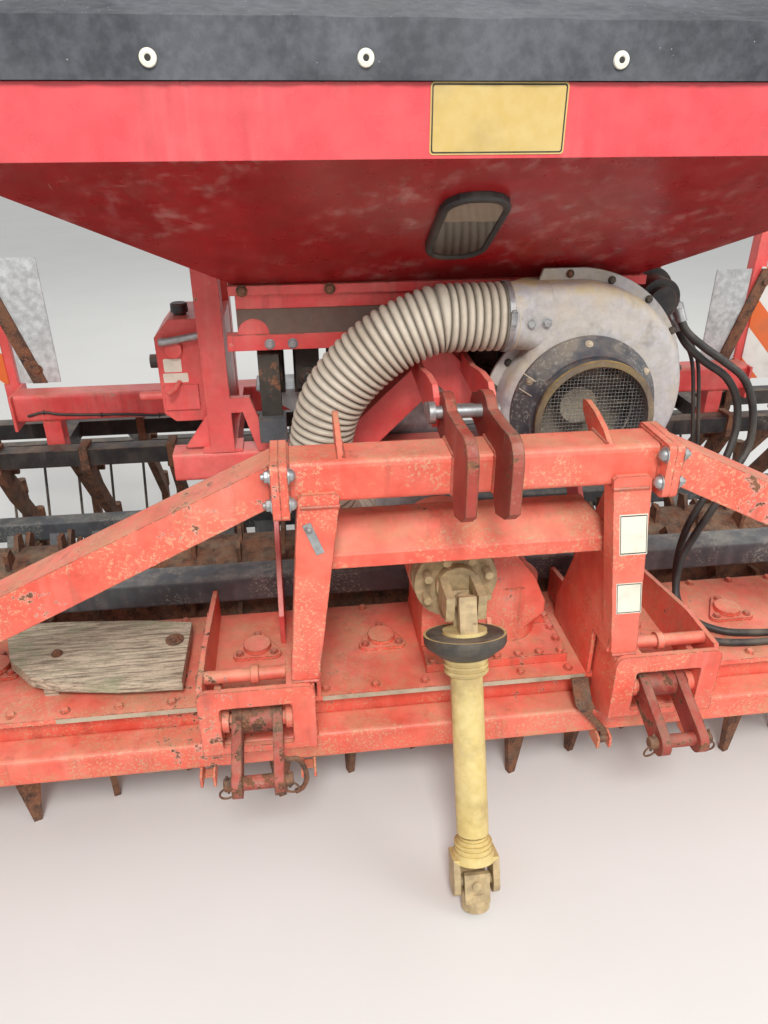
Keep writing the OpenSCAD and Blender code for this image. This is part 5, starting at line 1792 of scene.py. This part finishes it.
@dataclass
class DriveShaft(SubAssembly):
    """The colours along the drive shaft, by the distance from its upper joint, and the bowl's ring."""

    joint: Pair = (84.0, 628.0)
    lean: float = math.radians(22.3)
    joint_end: float = 57.0
    rubber: Pair = (66.5, 111.5)
    worn: Pair = (400.0, 470.0)
    lower_joint: float = 556.0
    ring_at: float = 0.066
    # Distance along the shaft and radius of each line of the bowl's ring
    ring: tuple[Pair, ...] = (
        (-0.001, 0.047), (-0.001, 0.078), (0.001, 0.0835), (0.005, 0.0862), (0.018, 0.0858), (0.026, 0.081),
        (0.036, 0.067), (0.045, 0.0565), (0.045, 0.047), (-0.001, 0.047))

    def way(self) -> Vector:
        """Returns the direction down the shaft."""
        return Vector((0.0, -math.sin(self.lean), -math.cos(self.lean)))

    def along(self, spot: Vector) -> float:
        """Returns how far down the shaft a place on the drawing is."""
        return (spot - Vector((0.0, *self.joint))).dot(self.way())

    def build(self) -> None:
        """Paints the guard and the slide, and adds the guard's ring."""
        guard, slide = "drive_shaft_guard", "drive_shaft_slide"
        for node, coat, start, end in ((guard, Slot.SHAFT_STEEL, -math.inf, self.joint_end),
                                       (guard, Coat.SHAFT_RUBBER, *self.rubber),
                                       (slide, Slot.GUARD_PLASTIC, -math.inf, self.lower_joint),
                                       (slide, Coat.WORN_TUBE, *self.worn)):
            self.machine.repaint(node, coat, lambda spot: start < self.along(spot) < end)
        rim = Shape()
        centre = self.spot(0, *self.joint) + self.way() * self.ring_at
        rim.lathe(centre, self.way(), self.ring, 56, capped=False)
        self.add("guard_bowl_ring", rim, Slot.BLACK_RUBBER, Coat.SHAFT_RUBBER, "drive_shaft")


@dataclass
class Headstock(SubAssembly):
    """Blank labels, the catch strip and weld beads on the headstock."""

    face: float = 14.0
    label_thick: float = 0.5
    # Left and right edge at the top, left and right edge at the foot, and the heights of both
    labels: tuple[tuple[float, float, float, float, float, float], ...] = (
        (273, 329, 286, 342, 848, 758), (290, 343, 300, 353, 692, 618))
    # Outer and inner edge of the line round a label, as shares of the label's size
    line: Pair = (0.95, 0.9)
    strip: tuple[Place, Place] = ((-313, 14, 871), (-290, 14, 808))
    strip_half: float = 0.008
    strip_depth: Place = (0, -0.002, 0)
    screw_in: float = 0.012
    # Start and end of each bead on the right side
    beads: tuple[tuple[Place, Place], ...] = (
        ((305, 13, 514), (358, 13, 514)), ((252, 14, 903), (322, 14, 903)),
        ((340, 25.5, 903), (340, 25.5, 983)), ((340, 26, 983.5), (340, 118, 983.5)),
        ((371, 26, 903), (371, 26, 983)), ((300, 80, 732), (300, 84, 800)),
        ((315, 62, 320.5), (315, 103, 320.5)), ((315, 132, 391.5), (315, 415, 391.5)),
        ((549, 62, 320.5), (549, 103, 320.5)), ((549, 132, 391.5), (549, 415, 391.5)),
        ((28, 25.5, 905), (28, 25.5, 981)), ((28, 28, 983.5), (28, 112, 983.5)),
        ((48, 25.5, 905), (48, 25.5, 981)), ((48, 28, 983.5), (48, 112, 983.5)),
        ((241, 40, 983.5), (241, 116, 983.5)))

    def build(self) -> None:
        """Makes the labels, the strip and the welds."""
        sheet, lines = Shape(), Shape()
        for top_left, top_right, low_left, low_right, top, low in self.labels:
            corners = ((top_left, top), (top_right, top), (low_right, low), (low_left, low))
            sheet.slab(self.wall(corners, self.face), (0, -self.label_thick * MM, 0))
            x, z = sum(x for x, _ in corners) / 4, sum(z for _, z in corners) / 4
            outlines = [self.wall([(x + (a - x) * size, z + (b - z) * size) for a, b in corners],
                                  self.face - self.label_thick) for size in self.line]
            lines.border(*outlines, LINE_DEPTH)
        self.add("blank_labels", sheet, Slot.BOARD_SHEET, Coat.CREAM_LABEL)
        self.add("label_borders", lines, Slot.BLACK_PAINT, Coat.BLACK_LINE)
        self.machine.repaint("top_link_ears", Coat.RUSTY_RED)
        self.catch_strip()
        welds = Shape()
        for side, _ in SIDES:
            for bead in self.beads:
                welds.weld(*self.spots((side * x, y, z) for x, y, z in bead))
        self.add("headstock_welds", welds, Slot.HARROW_PAINT, Coat.WELD)

    def catch_strip(self) -> None:
        """Makes the small bright strip on the left upright, with its screw."""
        start, end = self.spots(self.strip)
        way = (end - start).normalized()
        side = Vector((way.z, 0.0, -way.x)) * self.strip_half
        shape = Shape()
        shape.slab([start - side, start + side, end + side, end - side], self.strip_depth)
        shape.bolt(start + way * self.screw_in + Vector(self.strip_depth), AHEAD, 0.006, Head.DOME)
        self.add("catch_strip", shape, Slot.ZINC)


@dataclass
class HitchTrim(SubAssembly):
    """Pins, rings and the bent hook on the hitch boxes."""

    yoke_x: float = 435.0
    lower_pin: Pair = (-89.3, 358.4)
    cheek: float = 51.0
    pin_end: tuple[Pair, ...] = ((-0.002, 0), (-0.002, 0.0135), (0.014, 0.0135), (0.017, 0.011), (0.017, 0))
    hook: tuple[Place, ...] = ((-395, 6, 351), (-391, -4, 336), (-378, -11, 331), (-360, -11, 330),
                               (-347, -11, 305), (-343, -11, 272), (-352, -11, 246), (-368, -11, 235))
    box_ring: Place = (422, 6, 335)

    def build(self) -> None:
        """Makes the pin ends with their linch pins, and the hook."""
        for side, word in SIDES:
            ends = Shape()
            for out in (-1, 1):
                inner = self.spot(side * self.yoke_x + out * self.cheek, *self.lower_pin)
                ends.lathe(inner, (out, 0, 0), self.pin_end, 20)
                ends.ring(inner + Vector((out * 0.0095, -0.002, -0.02)), (0.25 * out, 1, 0.15), 0.017, 0.0022)
                ends.tube([inner + Vector((out * 0.009, 0, z)) for z in (-0.022, 0.022)], 0.003, 8)
            self.add(f"linch_pins_{word}", ends, Slot.RUSTY_STEEL, body=f"yoke_{word}")
            self.machine.repaint(f"hitch_yoke_{word}", Coat.RUSTY_RED)
        hook, wire = Shape(), Shape()
        hook.tube(smooth_path(self.spots(self.hook), 0.006), 0.0055, 10)
        self.add("box_hook", hook, Slot.RUSTY_STEEL)
        wire.ring(self.spot(*self.box_ring), (0.2, 1, 0), 0.017, 0.002)
        self.add("box_ring", wire, Slot.RUSTY_STEEL)


@dataclass
class DrillFront(SubAssembly):
    """What shows under the hopper: dusty bands, the drive box's labels and lever, and the wiring."""

    # Heights below which the metering unit lies in shade, and between which its front is dusty
    shade_top: float = 1070.0
    dusty: Pair = (1108.0, 1160.0)
    dusty_front: float = 425.0
    # The grey block under the metering unit and the black end of the drive box, by their inner corner
    grey_block: Pair = (-335.0, 930.0)
    black_end: Pair = (-627.0, 960.0)
    box_front: float = 561.0
    # Left and right edge, and the lower and upper one
    box_labels: tuple[tuple[float, float, float, float], ...] = (
        (-612, -572, 990, 1021), (-616, -560, 965, 987))
    # Sideways place, height and radius of the rubbed patch, and its depth
    bare_patch: tuple[float, float, float] = (-396.0, 1107.5, 33.0)
    patch_front: float = 418.0
    label_depth: Place = (0, -0.5 * MM, 0)
    patch_depth: Place = (0, -0.3 * MM, 0)
    cap: Place = (-568, 612, 1110)
    cap_profile: tuple[Pair, ...] = ((0, 0), (0, 0.015), (0.006, 0.015), (0.006, 0.02), (0.024, 0.019),
                                     (0.026, 0.016), (0.026, 0))
    crank: tuple[Place, ...] = ((-612, 540, 1064), (-570, 540, 1070), (-523, 540, 1078))
    crank_boss: Place = (-606, 561, 1065)
    catch: tuple[Place, ...] = ((-581, 560, 966), (-590, 535, 955), (-604, 520, 950))
    cable: tuple[Place, ...] = ((-1086, 996, 742), (-1040, 996, 752), (-997, 996, 744), (-900, 996, 738),
                                (-810, 996, 735), (-717, 996, 728), (-660, 996, 742), (-630, 996, 775))
    ties: tuple[Place, ...] = ((-1040, 996, 752), (-880, 996, 737), (-717, 996, 728))

    def build(self) -> None:
        """Paints the bands and makes the small pieces."""
        repaint = self.machine.repaint
        repaint("metering_unit", Coat.SHADED_METAL, lambda spot: spot.z < self.shade_top)
        repaint("metering_unit", Coat.DUSTY_BAND,
                lambda spot: self.dusty[0] < spot.z < self.dusty[1] and spot.y < self.dusty_front)
        repaint("metering_unit", Slot.GREY_PAINT,
                lambda spot: spot.x < self.grey_block[0] and spot.z < self.grey_block[1])
        repaint("drive_box", Slot.BLACK_PAINT,
                lambda spot: spot.x < self.black_end[0] and spot.z > self.black_end[1])
        labels, tube, catch, wiring, patch, cap = (Shape() for _ in range(6))
        for low_x, high_x, low_z, high_z in self.box_labels:
            outline = rounded(low_x, high_x, low_z, high_z, 3)
            labels.slab(self.wall(outline, self.box_front), self.label_depth)
        self.add("box_labels", labels, Slot.BOARD_SHEET, Coat.CREAM_LABEL)
        tube.tube(smooth_path(self.spots(self.crank), 0.01), 0.0085, 16)
        tube.disc(self.spot(*self.crank_boss), AHEAD, 0, 0.026, 0.006, 12)
        self.add("crank_tube", tube, Slot.ZINC)
        catch.tube(self.spots(self.catch), 0.006, 10)
        self.add("box_catch", catch, Slot.DRILL_PAINT)
        wiring.tube(smooth_path(self.spots(self.cable), 0.012), 0.0038, 8)
        for tie in self.spots(self.ties):
            wiring.ring(tie, (1, 0, 0), 0.0055, 0.0015, 14)
        self.add("beam_wiring", wiring, Slot.BLACK_RUBBER)
        middle, low, radius = self.bare_patch
        arc = [(middle + radius * math.cos(turn), low + radius * math.sin(turn))
               for turn in np.linspace(0, math.pi, 20)]
        patch.slab(self.wall(arc, self.patch_front), self.patch_depth)
        self.add("rubbed_patch", patch, Slot.DRILL_PAINT)
        cap.lathe(self.spot(*self.cap), UP, self.cap_profile, 20)
        self.add("filler_cap", cap, Slot.BLACK_PAINT)


@dataclass
class RoadBoards(SubAssembly):
    """The stripes of the outer boards and the rust on the bars that carry them."""

    inner_edge: float = 1149.0
    plate_front: float = 1089.5

    def build(self) -> None:
        """Paints the boards."""
        self.machine.repaint("road_boards", Slot.BOARD_SHEET)
        self.machine.repaint("road_boards", Coat.STRIPED_SHEET,
                             lambda spot: abs(spot.x) > self.inner_edge and spot.y > self.plate_front)
        self.machine.repaint("road_boards", Slot.RUSTY_STEEL, lambda spot: spot.y < self.plate_front)


@dataclass
class Harrow(SubAssembly):
    """Details of the harrow: the bare stretches of its cover's lip, and the plank's bolts."""

    lip_front: float = 104.0
    lip: Pair = (377.5, 389.5)
    # Left and right end of each stretch where the lip's paint is gone
    bare: tuple[Pair, ...] = ((-860.0, -563.0), (-298.0, 298.0))
    plank_top: float = 441.0
    # Sideways place and depth of the plank's bolt with a large washer, and of the plain one
    washer_bolt: Pair = (-628.0, 280.0)
    plain_bolt: Pair = (-885.0, 262.0)

    def build(self) -> None:
        """Makes the bare stretches of the cover's lip and the plank's fixings."""
        seam = Shape()
        for left, right in self.bare:
            seam.box(self.spot(left, self.lip_front - 0.5, self.lip[0]),
                     self.spot(right, self.lip_front - 0.05, self.lip[1]))
        self.add("cover_seam", seam, Slot.ZINC, Coat.DIRTY_SEAM)
        bolts = Shape()
        bolts.disc(self.spot(*self.washer_bolt, self.plank_top), UP, 0, 0.003, 0.021, 24)
        bolts.bolt(self.spot(*self.washer_bolt, self.plank_top + 2), UP, 0.010, Head.DOME)
        bolts.bolt(self.spot(*self.plain_bolt, self.plank_top), UP, 0.010, Head.DOME)
        self.add("plank_bolts", bolts, Slot.RUSTY_STEEL)


def main() -> None:
    """Builds the sub-assemblies in order."""
    logging.basicConfig(level=logging.INFO, format="%(name)s: %(message)s")
    bpy.context.scene.view_settings.view_transform = "Standard"
    machine = Machine.load()
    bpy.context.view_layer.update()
    for kind in (Studio, PressureHoses, AirHose, Tarpaulin, HopperTrim, FanShell, FanFace, Fasteners,
                 DriveShaft, Headstock, HitchTrim, DrillFront, RoadBoards, Harrow):
        kind(machine).build()
        LOG.info("built %s", kind.__name__)


if __name__ == "__main__":
    main()
